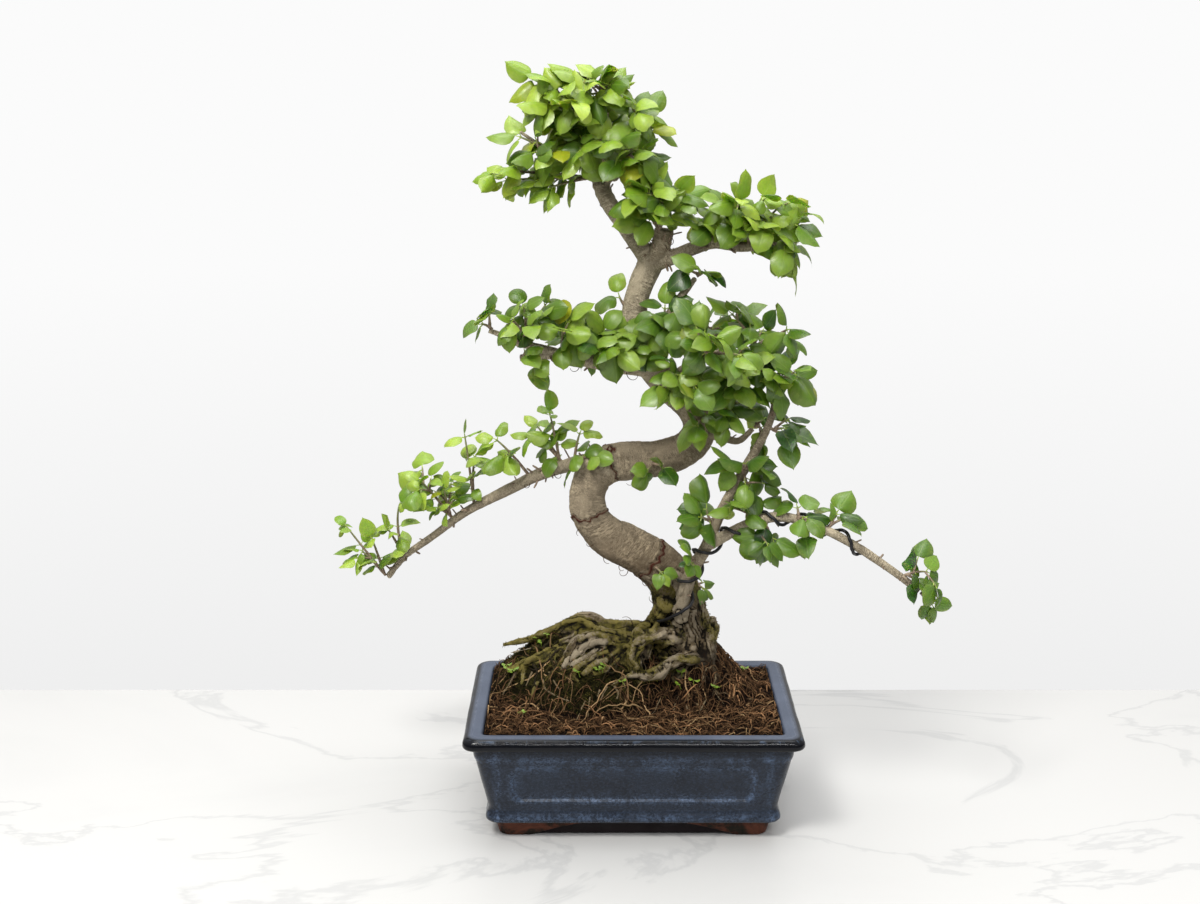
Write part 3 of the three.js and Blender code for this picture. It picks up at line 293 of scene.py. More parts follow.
class Pile:
    """Vertices, faces and per-vertex paint collected for one mesh."""

    def __init__(self):
        self.points, self.faces, self.paint, self.uv = [], [], [], []
        self.count = 0

    def add(self, points, faces, paint=(0, 0, 0), uv=None):
        points = np.asarray(points, float).reshape(-1, 3)
        self.points.append(points)
        self.faces.extend([[i + self.count for i in face] for face in faces])
        rows = np.ones((len(points), 4))
        rows[:, : np.shape(paint)[-1]] = paint
        self.paint.append(rows)
        self.uv.append(np.zeros((len(points), 2)) if uv is None else np.asarray(uv, float))
        self.count += len(points)

    def mesh(self, name, material, nodes=(), slot=None, smooth_angle=None):
        points, paint, uv = (np.vstack(rows) for rows in (self.points, self.paint, self.uv))
        return make_mesh(name, points, self.faces, material, nodes, slot, paint, uv, smooth_angle)


def make_mesh(
    name, points, faces, material, nodes=(), slot=None, paint=None, uv=None, smooth_angle=None
):
    mesh = bpy.data.meshes.new(name)
    mesh.from_pydata((np.asarray(points) * MM).tolist(), [], faces)
    mesh.shade_smooth()
    if smooth_angle is not None:
        mesh.set_sharp_from_angle(angle=math.radians(smooth_angle))
    obj = add_object(name, mesh)
    finish_piece(obj, material, nodes, slot, paint, uv)
    return obj


def finish_piece(obj, material, nodes=(), slot=None, paint=None, uv=None, body="root"):
    mesh = obj.data
    mesh.materials.clear()
    mesh.materials.append(material)
    if paint is not None:
        colour = mesh.color_attributes.new("paint", "FLOAT_COLOR", "POINT")
        paint = np.asarray(paint)
        rgba = np.ones((len(mesh.vertices), 4), np.float32)
        rgba[:, : paint.shape[1]] = paint
        colour.data.foreach_set("color", rgba.ravel())
    if uv is not None:
        layer = mesh.uv_layers.new(name="uv")
        corner = np.zeros(len(mesh.loops), np.int32)
        mesh.loops.foreach_get("vertex_index", corner)
        layer.data.foreach_set("uv", np.asarray(uv, np.float32)[corner].ravel())
    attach(obj, body)
    if nodes:
        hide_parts(*nodes)


def tube_faces(rings, sides, closed=True):
    faces = []
    for i in range(rings - 1):
        for j in range(sides):
            k = (j + 1) % sides
            faces.append([i * sides + j, i * sides + k, (i + 1) * sides + k, (i + 1) * sides + j])
    if closed:
        faces.append(list(range(sides))[::-1])
        faces.append([(rings - 1) * sides + j for j in range(sides)])
    return faces


def tube(path, radius, sides, flute=None):
    """Points and faces of a closed tube. Flute gives a factor on the radius by angle and place."""
    along, normals, binormals = carried_frames(path)
    angle = np.linspace(0, 2 * math.pi, sides, endpoint=False)
    reach = np.broadcast_to(np.asarray(radius, float)[:, None], (len(path), sides))
    if flute is not None:
        reach = reach * flute(angle[None, :], np.arange(len(path))[:, None])
    across = np.cos(angle)[None, :, None] * normals[:, None, :]
    across = across + np.sin(angle)[None, :, None] * binormals[:, None, :]
    rings = path[:, None, :] + reach[..., None] * across
    return rings.reshape(-1, 3), tube_faces(len(path), sides)


def strands(paths, radii, sides, reference=(0, 0, 1)):
    """Many thin closed tubes at once: paths are (count, places, 3), radii (count, places)."""
    count, places = radii.shape
    along = unit(np.gradient(paths, axis=1))
    ref = np.broadcast_to(np.asarray(reference, float), along.shape)
    side = np.cross(along, ref)
    steep = np.linalg.norm(side, axis=-1, keepdims=True) < 0.2
    side = unit(np.where(steep, np.cross(along, np.array((1.0, 0.2, 0.0))), side))
    up = np.cross(side, along)
    angle = np.linspace(0, 2 * math.pi, sides, endpoint=False)
    across = np.cos(angle)[:, None] * side[:, :, None, :] + np.sin(angle)[:, None] * up[:, :, None, :]
    ring = paths[:, :, None, :] + radii[:, :, None, None] * across
    wall = np.array(tube_faces(places, sides, closed=False))[:, ::-1]
    caps = [list(range(sides)), [(places - 1) * sides + j for j in range(sides)][::-1]]
    offset = (np.arange(count) * places * sides)[:, None, None]
    faces = (wall[None] + offset).reshape(-1, 4).tolist()
    for cap in caps:
        faces.extend((np.array(cap)[None] + offset[:, 0]).tolist())
    return ring.reshape(-1, 3), faces


def strand_piece(name, paths, radii, sides, shade, material, slot):
    """One mesh of many thin tubes, each with its own row of paint."""
    pile = Pile()
    pile.add(*strands(paths, radii, sides), np.repeat(shade, paths.shape[1] * sides, axis=0))
    pile.mesh(name, material, slot=slot)


# Materials


class Nodes:
    """A node tree, with short calls for the nodes used here."""

    def __init__(self, tree):
        self.tree = tree

    def put(self, socket, value):
        if isinstance(value, bpy.types.NodeSocket):
            self.tree.links.new(value, socket)
        elif socket.type == "RGBA" and len(value) == 3:
            socket.default_value = (*value, 1)
        else:
            socket.default_value = value

    def node(self, kind, settings=None, **inputs):
        made = self.tree.nodes.new("ShaderNode" + kind)
        for key, value in (settings or {}).items():
            setattr(made, key, value)
        for key, value in inputs.items():
            self.put(made.inputs[key.replace("_", " ")], value)
        return made

    def split(self, vector):
        return self.node("SeparateXYZ", Vector=vector).outputs

    def noise(self, vector, scale, detail=4.0, rough=0.6, twist=0.0):
        sizes = {"Scale": scale, "Detail": detail, "Roughness": rough, "Distortion": twist}
        return self.node("TexNoise", Vector=vector, **sizes).outputs["Fac"]

    def math(self, operation, *values, clamp=False):
        made = self.node("Math", {"operation": operation, "use_clamp": clamp})
        for socket, value in zip(made.inputs, values):
            self.put(socket, value)
        return made.outputs[0]

    def times(self, a, b):
        return self.math("MULTIPLY", a, b)

    def plus(self, a, b):
        return self.math("ADD", a, b)

    def minus(self, a, b, clamp=False):
        return self.math("SUBTRACT", a, b, clamp=clamp)

    def most(self, a, b):
        return self.math("MAXIMUM", a, b)

    def off(self, a, b):
        """How far a is from b."""
        return self.math("ABSOLUTE", self.minus(a, b))

    def ramp(self, value, low, high, out_low=0.0, out_high=1.0, kind="SMOOTHSTEP"):
        ends = {"From Min": low, "From Max": high, "To Min": out_low, "To Max": out_high}
        return self.node("MapRange", {"interpolation_type": kind}, Value=value, **ends).outputs[0]

    def mix(self, share, a, b, blend="MIX"):
        made = self.node("Mix", {"data_type": "RGBA", "blend_type": blend})
        self.put(made.inputs[0], share)
        self.put(made.inputs[6], a)
        self.put(made.inputs[7], b)
        return made.outputs[2]


class Paintbox(Nodes):
    """A material's nodes. The paint on a mesh is its colour attribute, and a field is a vector one."""

    def __init__(self, name):
        self.material = bpy.data.materials.new(name)
        self.material.use_nodes = True
        super().__init__(self.material.node_tree)
        self.shader = self.tree.nodes["Principled BSDF"]

    def set(self, **inputs):
        for key, value in inputs.items():
            self.put(self.shader.inputs[key.replace("_", " ")], value)

    def paint(self):
        attribute = self.node("Attribute", {"attribute_name": "paint"})
        parts = self.node("SeparateColor", Color=attribute.outputs["Color"]).outputs
        shown = {key: parts[key] for key in ("Red", "Green", "Blue")}
        return {"Alpha": attribute.outputs["Alpha"], **shown}

    def field(self, name):
        return self.node("Attribute", {"attribute_name": name}).outputs["Vector"]

    def position(self, scale=(1, 1, 1)):
        place = self.node("NewGeometry").outputs["Position"]
        return self.node("Mapping", Vector=place, Scale=scale).outputs["Vector"]

    def bump(self, height, strength, distance):
        made = self.node("Bump", Height=height, Strength=strength, Distance=distance)
        self.set(Normal=made.outputs["Normal"])


# Colours of each surface. A pair is the dark end and the light end.
LEAF_COLOUR = {
    "old": ((0.010, 0.040, 0.002), (0.135, 0.250, 0.026)),
    "young": ((0.140, 0.265, 0.010), (0.36, 0.50, 0.050)),
    "yellow": (0.36, 0.37, 0.012),
    "blotch": (0.035, 0.10, 0.010),
    # Paler yellow-green of the lower face: partly its own paler colour, partly painted light shining through
    # the leaf
    "under": (0.21, 0.29, 0.050),
    "vein": (0.27, 0.36, 0.08),
}
BARK_COLOUR = {
    "broad": ((0.175, 0.128, 0.080), (0.36, 0.285, 0.185)),
    "grain": (0.29, 0.225, 0.148),
    "fleck": (0.55, 0.46, 0.33),
    "pale": (0.62, 0.535, 0.385),
    "crack": (0.070, 0.046, 0.028),
    # Multiplies the bark darker towards the foot of the trunk
    "darker_low": (0.52, 0.50, 0.43),
    # Painted light where the bark stands out, then painted shade in its hollows
    "raised": (0.52, 0.44, 0.32),
    "hollow_shade": (0.009, 0.007, 0.004),
    "scar": (0.060, 0.013, 0.007),
    # Near-black: painted shade in pits and under the trunk's overhang, also where wood meets the soil and on
    # some thin roots
    "pit": (0.012, 0.008, 0.005),
}
OLIVE = {
    "patch": ((0.014, 0.015, 0.003), (0.115, 0.100, 0.016)),
    "fleck": (0.21, 0.175, 0.035),
    # Painted light on raised places of the olive patches
    "raised": (0.31, 0.25, 0.055),
}
TWIG_COLOUR = {"brown": ((0.11, 0.07, 0.042), (0.33, 0.25, 0.175)), "green": (0.17, 0.24, 0.06)}
GLAZE_COLOUR = {
    "navy": ((0.0085, 0.011, 0.017), (0.0125, 0.017, 0.0265)),
    "speckle": (0.036, 0.050, 0.082),
    # Pale glaze where it thins at edges and ledges, on the ledge beneath the rim also a painted highlight
    "pale": (0.11, 0.165, 0.275),
    "thin": (0.038, 0.052, 0.082),
    # The rim face's near-black: a painted dark reflection of the room in front
    "face": (0.0018, 0.0022, 0.004),
    # A painted highlight along the rim's edge
    "line": (0.12, 0.17, 0.26),
    "top": ((0.070, 0.088, 0.130), (0.115, 0.138, 0.19)),
    "top_speckle": (0.04, 0.052, 0.085),
}
CLAY_COLOUR = {
    "fired": ((0.105, 0.030, 0.014), (0.040, 0.014, 0.008)),
    "stain": (0.008, 0.008, 0.004),
    "grit": (0.20, 0.07, 0.04),
    # Painted shade in the recess behind the arches
    "recess": (0.010, 0.006, 0.007),
}
SOIL_COLOUR = {
    "crumb": ((0.0015, 0.001, 0.0008), (0.034, 0.014, 0.007)),
    "damp": (0.012, 0.006, 0.004),
    "moss": ((0.003, 0.003, 0.001), (0.034, 0.029, 0.008)),
}
WIRE_COLOUR = ((0.012, 0.012, 0.014), (0.05, 0.05, 0.055))
PLASTIC_COLOUR = ((0.012, 0.012, 0.012), (0.03, 0.03, 0.028))
# A fibre's paint picks a colour in a pair, and how much of the second pair
FIBRE_COLOURS = {
    "coir": (((0.006, 0.003, 0.0015), (0.47, 0.25, 0.12)), ((0.20, 0.12, 0.055), (0.48, 0.33, 0.17))),
    "moss": (((0.007, 0.007, 0.002), (0.060, 0.050, 0.011)), ((0.040, 0.040, 0.008), (0.20, 0.17, 0.030))),
    "hair": (((0.05, 0.03, 0.02), (0.16, 0.10, 0.07)), ((0.1, 0.07, 0.04), (0.2, 0.15, 0.1))),
}
STONE_COLOUR = {"base": (0.555, 0.555, 0.550), "vein": (0.41, 0.415, 0.42), "cloud": (0.47, 0.475, 0.48)}
# How a leaf's side veins lean forward, and how many there are from stalk to tip
SIDE_VEINS = {"lean": 0.42, "count": 7.0}


def leaf_material():
    """Paint: a random shade, the youth, the share of yellow, 0 on the lower face. UV: across, along."""
    box = Paintbox("leaf")
    colours = LEAF_COLOUR
    paint = box.paint()
    uv = box.split(box.node("UVMap", {"uv_map": "uv"}).outputs["UV"])
    across = box.math("ABSOLUTE", uv["X"])
    forward = box.minus(uv["Y"], box.times(across, SIDE_VEINS["lean"]))
    phase = box.math("FRACT", box.times(forward, SIDE_VEINS["count"]))
    side_vein = box.times(box.ramp(box.off(phase, 0.5), 0.0, 0.13, 1.0, 0.0), 0.35)
    vein = box.most(box.ramp(across, 0.02, 0.07, 1.0, 0.0), side_vein)
    mottle = box.noise(box.position(), 300.0, 3.0)
    old = box.mix(paint["Red"], *colours["old"])
    young = box.mix(paint["Red"], *colours["young"])
    colour = box.mix(paint["Green"], old, young)
    colour = box.mix(paint["Blue"], colour, colours["yellow"])
    colour = box.mix(box.ramp(mottle, 0.35, 0.75, 0.0, 0.25), colour, colours["blotch"])
    # Paler yellow-green on the lower face: partly its own paler colour, partly painted light shining through
    # the leaf
    colour = box.mix(box.ramp(paint["Alpha"], 0.9, 0.1, 0.0, 0.4), colour, colours["under"])
    pale = box.mix(0.5, colour, colours["vein"])
    colour = box.mix(box.times(vein, 0.45), colour, pale)
    box.set(Base_Color=colour, Roughness=box.ramp(mottle, 0.3, 0.8, 0.32, 0.46), Specular_IOR_Level=0.5)
    box.set(Subsurface_Weight=0.2, Subsurface_Scale=0.004, Subsurface_Radius=(0.5, 1.0, 0.1))
    box.bump(box.times(vein, -1.0), 0.3, 0.0003)
    return box.material


def bark_material(grained=True):
    """Paint: the moss, the red scars, a near-black (painted shade in pits and under the trunk's overhang,
    also where wood meets the soil and on some thin roots), and how far a place stands out, which gives
    painted shade in hollows and painted light on raised places of grained bark. Thin roots have no grain."""
    box = Paintbox("bark" if grained else "root_bark")
    colours = BARK_COLOUR
    paint = box.paint()
    place = box.position()
    height = box.split(place)["Z"]
    broad = box.noise(place, 42.0, 5.0, 0.65)
    fine = box.noise(place, 520.0, 6.0, 0.75, 0.4)
    patchy = box.noise(place, 150.0, 4.0, 0.7)
    tone = box.split(box.field("tone"))["X"]
    colour = box.mix(box.ramp(broad, 0.3, 0.7), *colours["broad"])
    colour = box.mix(box.ramp(fine, 0.35, 0.65, 0.0, 0.6), colour, colours["grain"])
    colour = box.mix(box.ramp(fine, 0.56, 0.74, 0.0, 0.8), colour, colours["fleck"])
    colour = box.mix(box.times(tone, 0.8), colour, colours["pale"])
    olive = box.mix(box.ramp(patchy, 0.36, 0.62), *OLIVE["patch"])
    olive = box.mix(box.ramp(fine, 0.52, 0.70, 0.0, 0.6), olive, OLIVE["fleck"])
    cracks = box.ramp(fine, 0.28, 0.42, 1.0, 0.0)
    if grained:
        streak = box.noise(box.field("grain"), 0.7, 7.0, 0.75, 1.4)
        wrinkle = box.noise(box.field("rings"), 0.8, 6.0, 0.7, 1.2)
        split = box.ramp(box.off(streak, 0.5), 0.0, 0.042, 1.0, 0.0)
        split = box.times(split, box.ramp(broad, 0.62, 0.42))
        split = box.times(split, box.ramp(height, 0.170, 0.210, 1.0, 0.4))
        crease = box.ramp(box.off(wrinkle, 0.5), 0.0, 0.045, 1.0, 0.0)
        crease = box.times(crease, box.ramp(broad, 0.34, 0.50))
        cracks = box.most(box.most(box.times(cracks, 0.6), split), crease)
    colour = box.mix(box.times(cracks, 0.75), colour, colours["crack"])
    # Darker towards the foot of the trunk, less where the bark is pale
    darker_low = box.minus(box.ramp(height, 0.150, 0.205, 0.8, 0.0), box.times(tone, 0.6), clamp=True)
    colour = box.mix(darker_low, colour, colours["darker_low"], "MULTIPLY")
    if grained:
        # Lighter where the bark stands out: painted light on raised places
        colour = box.mix(box.ramp(paint["Alpha"], 0.55, 0.95, 0.0, 0.5), colour, colours["raised"])
        olive = box.mix(box.ramp(paint["Alpha"], 0.52, 0.85, 0.0, 0.5), olive, OLIVE["raised"])
    moss_edge = box.plus(paint["Red"], box.ramp(fine, 0.2, 0.8, -0.35, 0.35))
    colour = box.mix(box.ramp(moss_edge, 0.3, 0.75, 0.0, 0.9), colour, olive)
    # Near-black where the bark lies below its surroundings: painted shade in hollows
    colour = box.mix(box.ramp(paint["Alpha"], 0.48, 0.22, 0.0, 0.97), colour, colours["hollow_shade"])
    colour = box.mix(paint["Green"], colour, colours["scar"])
    # Near-black: painted shade in pits and under the trunk's overhang, also where wood meets the soil and on
    # some thin roots
    colour = box.mix(paint["Blue"], colour, colours["pit"])
    box.set(Base_Color=colour, Roughness=box.ramp(fine, 0.2, 0.8, 0.75, 0.95), Specular_IOR_Level=0.15)
    box.bump(box.minus(fine, box.times(cracks, 0.8)), 0.8, 0.0007)
    return box.material


def twig_material():
    """Paint's red is the share of green in a young shoot."""
    box = Paintbox("twig")
    grain = box.noise(box.position(), 500.0, 5.0, 0.7)
    brown = box.mix(box.ramp(grain, 0.3, 0.7), *TWIG_COLOUR["brown"])
    box.set(Base_Color=box.mix(box.paint()["Red"], brown, TWIG_COLOUR["green"]), Roughness=0.7)
    box.bump(grain, 0.4, 0.0004)
    return box.material


def glaze_material():
    """Paint: the pale edges where glaze thins, also a painted highlight on the ledge beneath the rim; the rim
    face's near-black, a painted dark reflection; the matt rim top; and, as one less a share, a painted
    highlight line along the rim's edge."""
    box = Paintbox("glaze")
    colours = GLAZE_COLOUR
    paint = box.paint()
    cloud = box.noise(box.position(), 26.0, 5.0, 0.6, 0.8)
    speck = box.noise(box.position(), 1100.0, 4.0, 0.8)
    flow = box.noise(box.position((1, 1, 0.4)), 70.0, 5.0, 0.7, 1.2)
    pool = box.noise(box.position((1, 1, 1.5)), 480.0, 5.0, 0.75)
    navy = box.mix(box.ramp(cloud, 0.3, 0.7), *colours["navy"])
    navy = box.mix(box.ramp(pool, 0.45, 0.64, 0.0, 0.5), navy, colours["speckle"])
    pale = box.times(paint["Red"], box.ramp(flow, 0.38, 0.62, 0.15, 1.0))
    pale = box.times(pale, box.ramp(pool, 0.43, 0.59, 0.2, 1.0))
    colour = box.mix(pale, navy, colours["pale"])
    thin = box.times(box.ramp(speck, 0.48, 0.62), box.ramp(cloud, 0.38, 0.62, 0.1, 0.4))
    colour = box.mix(thin, colour, colours["thin"])
    # The rim face painted near-black: a painted dark reflection
    colour = box.mix(paint["Green"], colour, colours["face"])
    # A painted highlight: a light line along the rim's edge, broken up by the flow
    line = box.times(box.minus(1.0, paint["Alpha"]), box.ramp(flow, 0.48, 0.66))
    colour = box.mix(line, colour, colours["line"])
    top = box.mix(box.ramp(cloud, 0.3, 0.7), *colours["top"])
    top = box.mix(box.ramp(speck, 0.3, 0.7, 0.0, 0.55), top, colours["top_speckle"])
    colour = box.mix(paint["Blue"], colour, top)
    rough = box.plus(box.ramp(cloud, 0.3, 0.7, 0.2, 0.32), box.times(pale, 0.2))
    rough = box.minus(rough, box.times(paint["Green"], 0.14))
    rough = box.plus(rough, box.times(paint["Blue"], 0.14))
    box.set(Base_Color=colour, Roughness=rough, Specular_IOR_Level=0.25)
    box.bump(box.plus(cloud, box.times(speck, 0.16)), 0.3, 0.0012)
    return box.material


def terracotta_material():
    """Paint's red is painted shade in the recess behind the arches."""
    box = Paintbox("terracotta")
    colours = CLAY_COLOUR
    place = box.position()
    cloud = box.noise(place, 45.0, 5.0, 0.65, 0.6)
    grain = box.noise(place, 900.0, 3.0)
    colour = box.mix(box.ramp(cloud, 0.35, 0.6), *colours["fired"])
    colour = box.mix(box.ramp(cloud, 0.47, 0.60, 0.0, 0.95), colour, colours["stain"])
    colour = box.mix(box.ramp(grain, 0.5, 0.8, 0.0, 0.3), colour, colours["grit"])
    # Painted shade in the recess behind the arches
    colour = box.mix(box.paint()["Red"], colour, colours["recess"])
    box.set(Base_Color=colour, Roughness=box.ramp(cloud, 0.3, 0.7, 0.5, 0.8), Specular_IOR_Level=0.2)
    box.bump(grain, 0.25, 0.0004)
    return box.material


def soil_material():
    """Paint's red is the moss."""
    box = Paintbox("soil")
    colours = SOIL_COLOUR
    place = box.position()
    crumb = box.noise(place, 330.0, 7.0, 0.75, 0.8)
    broad = box.noise(place, 45.0, 4.0)
    colour = box.mix(box.ramp(crumb, 0.45, 0.80), *colours["crumb"])
    colour = box.mix(box.ramp(broad, 0.4, 0.7, 0.0, 0.5), colour, colours["damp"])
    moss = box.mix(box.ramp(crumb, 0.42, 0.68), *colours["moss"])
    edge = box.plus(box.paint()["Red"], box.ramp(broad, 0.2, 0.8, -0.3, 0.3))
    colour = box.mix(box.ramp(edge, 0.3, 0.7), colour, moss)
    box.set(Base_Color=colour, Roughness=0.95, Specular_IOR_Level=0.05)
    box.bump(crumb, 1.0, 0.0016)
    return box.material


def fibre_material(name):
    """Paint's red picks a colour in a pair, its green the pair."""
    box = Paintbox(name)
    paint = box.paint()
    first, second = (box.mix(paint["Red"], *pair) for pair in FIBRE_COLOURS[name])
    colour = box.mix(paint["Green"], first, second)
    grain = box.noise(box.position(), 1500.0, 2.0)
    colour = box.mix(box.ramp(grain, 0.3, 0.7, 0.0, 0.4), colour, FIBRE_COLOURS[name][0][0])
    box.set(Base_Color=colour, Roughness=0.85, Specular_IOR_Level=0.08)
    return box.material


def wire_material():
    box = Paintbox("anodised_wire")
    scuff = box.noise(box.position(), 600.0, 4.0, 0.7)
    colour = box.mix(box.ramp(scuff, 0.6, 0.8), *WIRE_COLOUR)
    box.set(Base_Color=colour, Roughness=box.ramp(scuff, 0.3, 0.7, 0.3, 0.48), Metallic=0.35)
    box.bump(scuff, 0.15, 0.0003)
    return box.material


def plastic_material():
    box = Paintbox("black_plastic")
    grain = box.noise(box.position(), 900.0, 3.0)
    box.set(Base_Color=box.mix(grain, *PLASTIC_COLOUR), Roughness=0.55)
    box.bump(grain, 0.2, 0.0003)
    return box.material


# The pot

POT = {
    "half_x": 125.0, "half_y": 90.0, "outer_corner": 9.5, "inner_corner": 5.0, "floor": 22.0, "under": 13.0,
}
# Inset from the rim's outer edge and height, up the outside and down the inside
WALL = [
    (18, 13), (16.4, 13.6), (15.5, 15), (15.4, 17), (16, 19), (17.1, 21.5), (17.5, 24), (15.8, 32),
    (13.6, 42), (11.2, 53), (8.8, 64), (7.9, 66), (7.5, 68), (7.3, 71), (7.4, 73.4), (6.6, 74.6), (5, 74.9),
    (3, 75), (1.6, 75.3), (0.6, 76), (0.1, 77), (0, 78), (0.1, 79.4), (0.45, 80.6), (1.1, 81.9), (2.1, 83),
    (3.2, 83.7), (4.4, 84), (8, 84.1), (12, 84.05), (13.3, 83.8), (14, 83.2), (14.4, 82.2), (14.7, 80),
    (15.6, 66), (24, 22),
]
WALL_STEP = 1.6
# The rim: its top, where its corners start to sharpen and over what width, its underside and its overhang
RIM = {"top": 84.0, "corner": 4.4, "corner_width": 8.5, "under": 74.5, "overhang": 7.0}
# The insets between which the matt top of the rim starts
MATT = (3.6, 5.2)
# A painted highlight: the light line along the rim's edge
LINE = {"height": 82.6, "width": 0.45, "inset": 3.0}
# Ledges where the glaze is thin and pale, on the one beneath the rim also a painted highlight line: height
# and width
LEDGES = [(17.0, 3.0), (66.0, 2.2)]
# Pale glaze beside a panel's edge: strength, place outside the edge and width
PANEL_GLOW = [(0.7, -1.2, 1.9), (0.25, -1.5, 6.0)]
# The faint pale line where a side of the pot meets its corner
CORNER_LINE = {"x": 100.0, "width": 3.0, "high": 74.0, "beyond_y": 60.0}
PANEL = {
    "long": 90.0, "short": 56.0, "low": 30.0, "high": 60.0, "deep": 1.8, "corner": 9.0, "edge": 2.0,
    "face": 19.0,
}
RIPPLE = {"scale": 0.045, "height": 0.35}
FOOT = {
    "half_x": 100.0, "half_y": 65.0, "spread": 3.5, "top": 13.6, "into_pot": 0.4, "wall": 7.0, "corner": 9.0,
    "edge": 0.8,
}
APRON = {"recess": 2.5, "lift": 1.2, "step": 1.5}
ARCH = {"top": 11.5, "long": (77.0, 31.0), "short": (48.0, 20.0), "curve": 1.3}
DRAIN = {"x": 55.0, "radius": 7.0, "sides": 40}
# Steps round a corner, and further points on a long side and on a short side
POT_POINTS = (10, 110, 76)
FOOT_POINTS = (12, 150, 100)
SOIL_POINTS = (6, 110, 76)


def rounded_ring(half_x, half_y, radius, z, arc, along, across):
    """A rounded rectangle, counter-clockwise from above, with evenly spaced points on its sides."""
    quarter = np.linspace(0, math.pi / 2, arc + 1)
    bends = []
    for corner, (sx, sy) in enumerate([(1, -1), (1, 1), (-1, 1), (-1, -1)]):
        angle = quarter + (corner - 1) * math.pi / 2
        x = sx * (half_x - radius) + radius * np.cos(angle)
        y = sy * (half_y - radius) + radius * np.sin(angle)
        bends.append(np.column_stack([x, y]))
    parts = []
    for corner, bend in enumerate(bends):
        extra = along if corner % 2 else across
        share = np.arange(1, extra + 1)[:, None] / (extra + 1)
        to = bends[(corner + 1) % 4][0]
        parts += [bend, bend[-1] + (to - bend[-1]) * share]
    flat = np.vstack(parts)
    return np.column_stack([flat, np.full(len(flat), z)])


def resampled(profile, spacing):
    rows = [profile[0]]
    for a, b in zip(profile, profile[1:]):
        steps = max(1, round(math.dist(a, b) / spacing))
        start, way = np.array(a), np.array(b) - np.array(a)
        rows.extend(tuple(start + way * i / steps) for i in range(1, steps + 1))
    return rows


def panel_depth(points):
    """How deep each point of the wall lies in its sunk panel, and how near the panel's edge."""
    deep = np.zeros(len(points))
    edge = np.zeros(len(points))
    low, high = PANEL["low"], PANEL["high"]
    corner = PANEL["corner"]
    for axis, half, side in ((0, PANEL["long"], POT["half_y"]), (1, PANEL["short"], POT["half_x"])):
        faces = np.abs(points[:, 1 - axis]) > side - PANEL["face"]
        dx = np.abs(points[:, axis]) - (half - corner)
        dz = np.abs(points[:, 2] - (low + high) / 2) - ((high - low) / 2 - corner)
        away = np.hypot(np.maximum(dx, 0), np.maximum(dz, 0)) + np.minimum(np.maximum(dx, dz), 0) - corner
        inside = np.clip(-away / PANEL["edge"], 0, 1)
        inside = inside * inside * (3 - 2 * inside)
        deep = np.where(faces, np.maximum(deep, inside), deep)
        near = sum(strength * bell(away, place, width) for strength, place, width in PANEL_GLOW)
        edge = np.where(faces, np.maximum(edge, near), edge)
    return deep, edge


def row_paint(inset, z, outside):
    """The glaze's paint on one row of the wall."""
    # Pale where the glaze thins on the ledges, on the ledge beneath the rim also a painted highlight line
    ledge = sum(bell(z, height, width) for height, width in LEDGES) * (inset > RIM["overhang"])
    # Where the rim face's painted dark reflection lies
    face = float(z > RIM["under"] and outside and inset < RIM["overhang"])
    top = between(inset, *MATT) * (z > 81)
    # Where the painted highlight line along the rim's edge lies
    line = bell(z, LINE["height"], LINE["width"]) * outside * (inset < LINE["inset"])
    return 0.6 * min(ledge, 1) * outside, face, top, 1 - line


def make_pot():
    profile = resampled(WALL, WALL_STEP)
    rim_start = max(i for i, (_, z) in enumerate(profile) if z > RIM["top"] - 0.1)
    rings, shades = [], []
    for i, (inset, z) in enumerate(profile):
        corner = POT["outer_corner"] if i <= rim_start else POT["inner_corner"]
        if abs(z - RIM["top"]) < 0.2:
            share = np.clip((inset - RIM["corner"]) / RIM["corner_width"], 0, 1)
            corner = POT["outer_corner"] + (POT["inner_corner"] - POT["outer_corner"]) * share
        rings.append(rounded_ring(POT["half_x"] - inset, POT["half_y"] - inset, corner, z, *POT_POINTS))
        shades.append(row_paint(inset, z, i <= rim_start))
    size = len(rings[0])
    points = np.vstack(rings)
    deep, edge = panel_depth(points)
    outward = points.copy()
    outward[:, 2] = 0
    inner = np.array([POT["half_x"] - 30, POT["half_y"] - 30, 0.0])
    outward = unit(outward - np.clip(outward, -inner, inner))
    outside = np.repeat([i <= rim_start for i in range(len(profile))], size)
    points = points - outward * (deep * PANEL["deep"] * outside)[:, None]
    ripple = grains(points, RIPPLE["scale"]) * RIPPLE["height"] * outside * (points[:, 2] < RIM["top"] - 1)
    points = points + outward * ripple[:, None]
    paint = np.repeat(np.array(shades, float), size, axis=0)
    corner_line = bell(np.abs(points[:, 0]), CORNER_LINE["x"], CORNER_LINE["width"])
    corner_line *= (points[:, 2] < CORNER_LINE["high"]) * (np.abs(points[:, 1]) > CORNER_LINE["beyond_y"])
    paint[:, 0] = np.clip(paint[:, 0] + (0.85 * edge + 0.35 * corner_line) * outside, 0, 1)
    faces = tube_faces(len(rings), size)
    cut_drains(make_mesh("pot_glaze", points, faces, GLAZE, ("pot",), "glazed_clay", paint))


def cut_drains(pot):
    for x in (-DRAIN["x"], DRAIN["x"]):
        place = (x * MM, 0, (POT["floor"] + POT["under"]) / 2 * MM)
        bpy.ops.mesh.primitive_cylinder_add(
            vertices=DRAIN["sides"], radius=DRAIN["radius"] * MM, depth=0.02, location=place
        )
        cutter = bpy.context.object
        cut = pot.modifiers.new("drain", "BOOLEAN")
        cut.object = cutter
        cut.operation = "DIFFERENCE"
        cut.solver = "EXACT"
        apply_modifiers(pot)
        bpy.data.objects.remove(cutter)
    pot.data.set_sharp_from_angle(angle=math.radians(40))


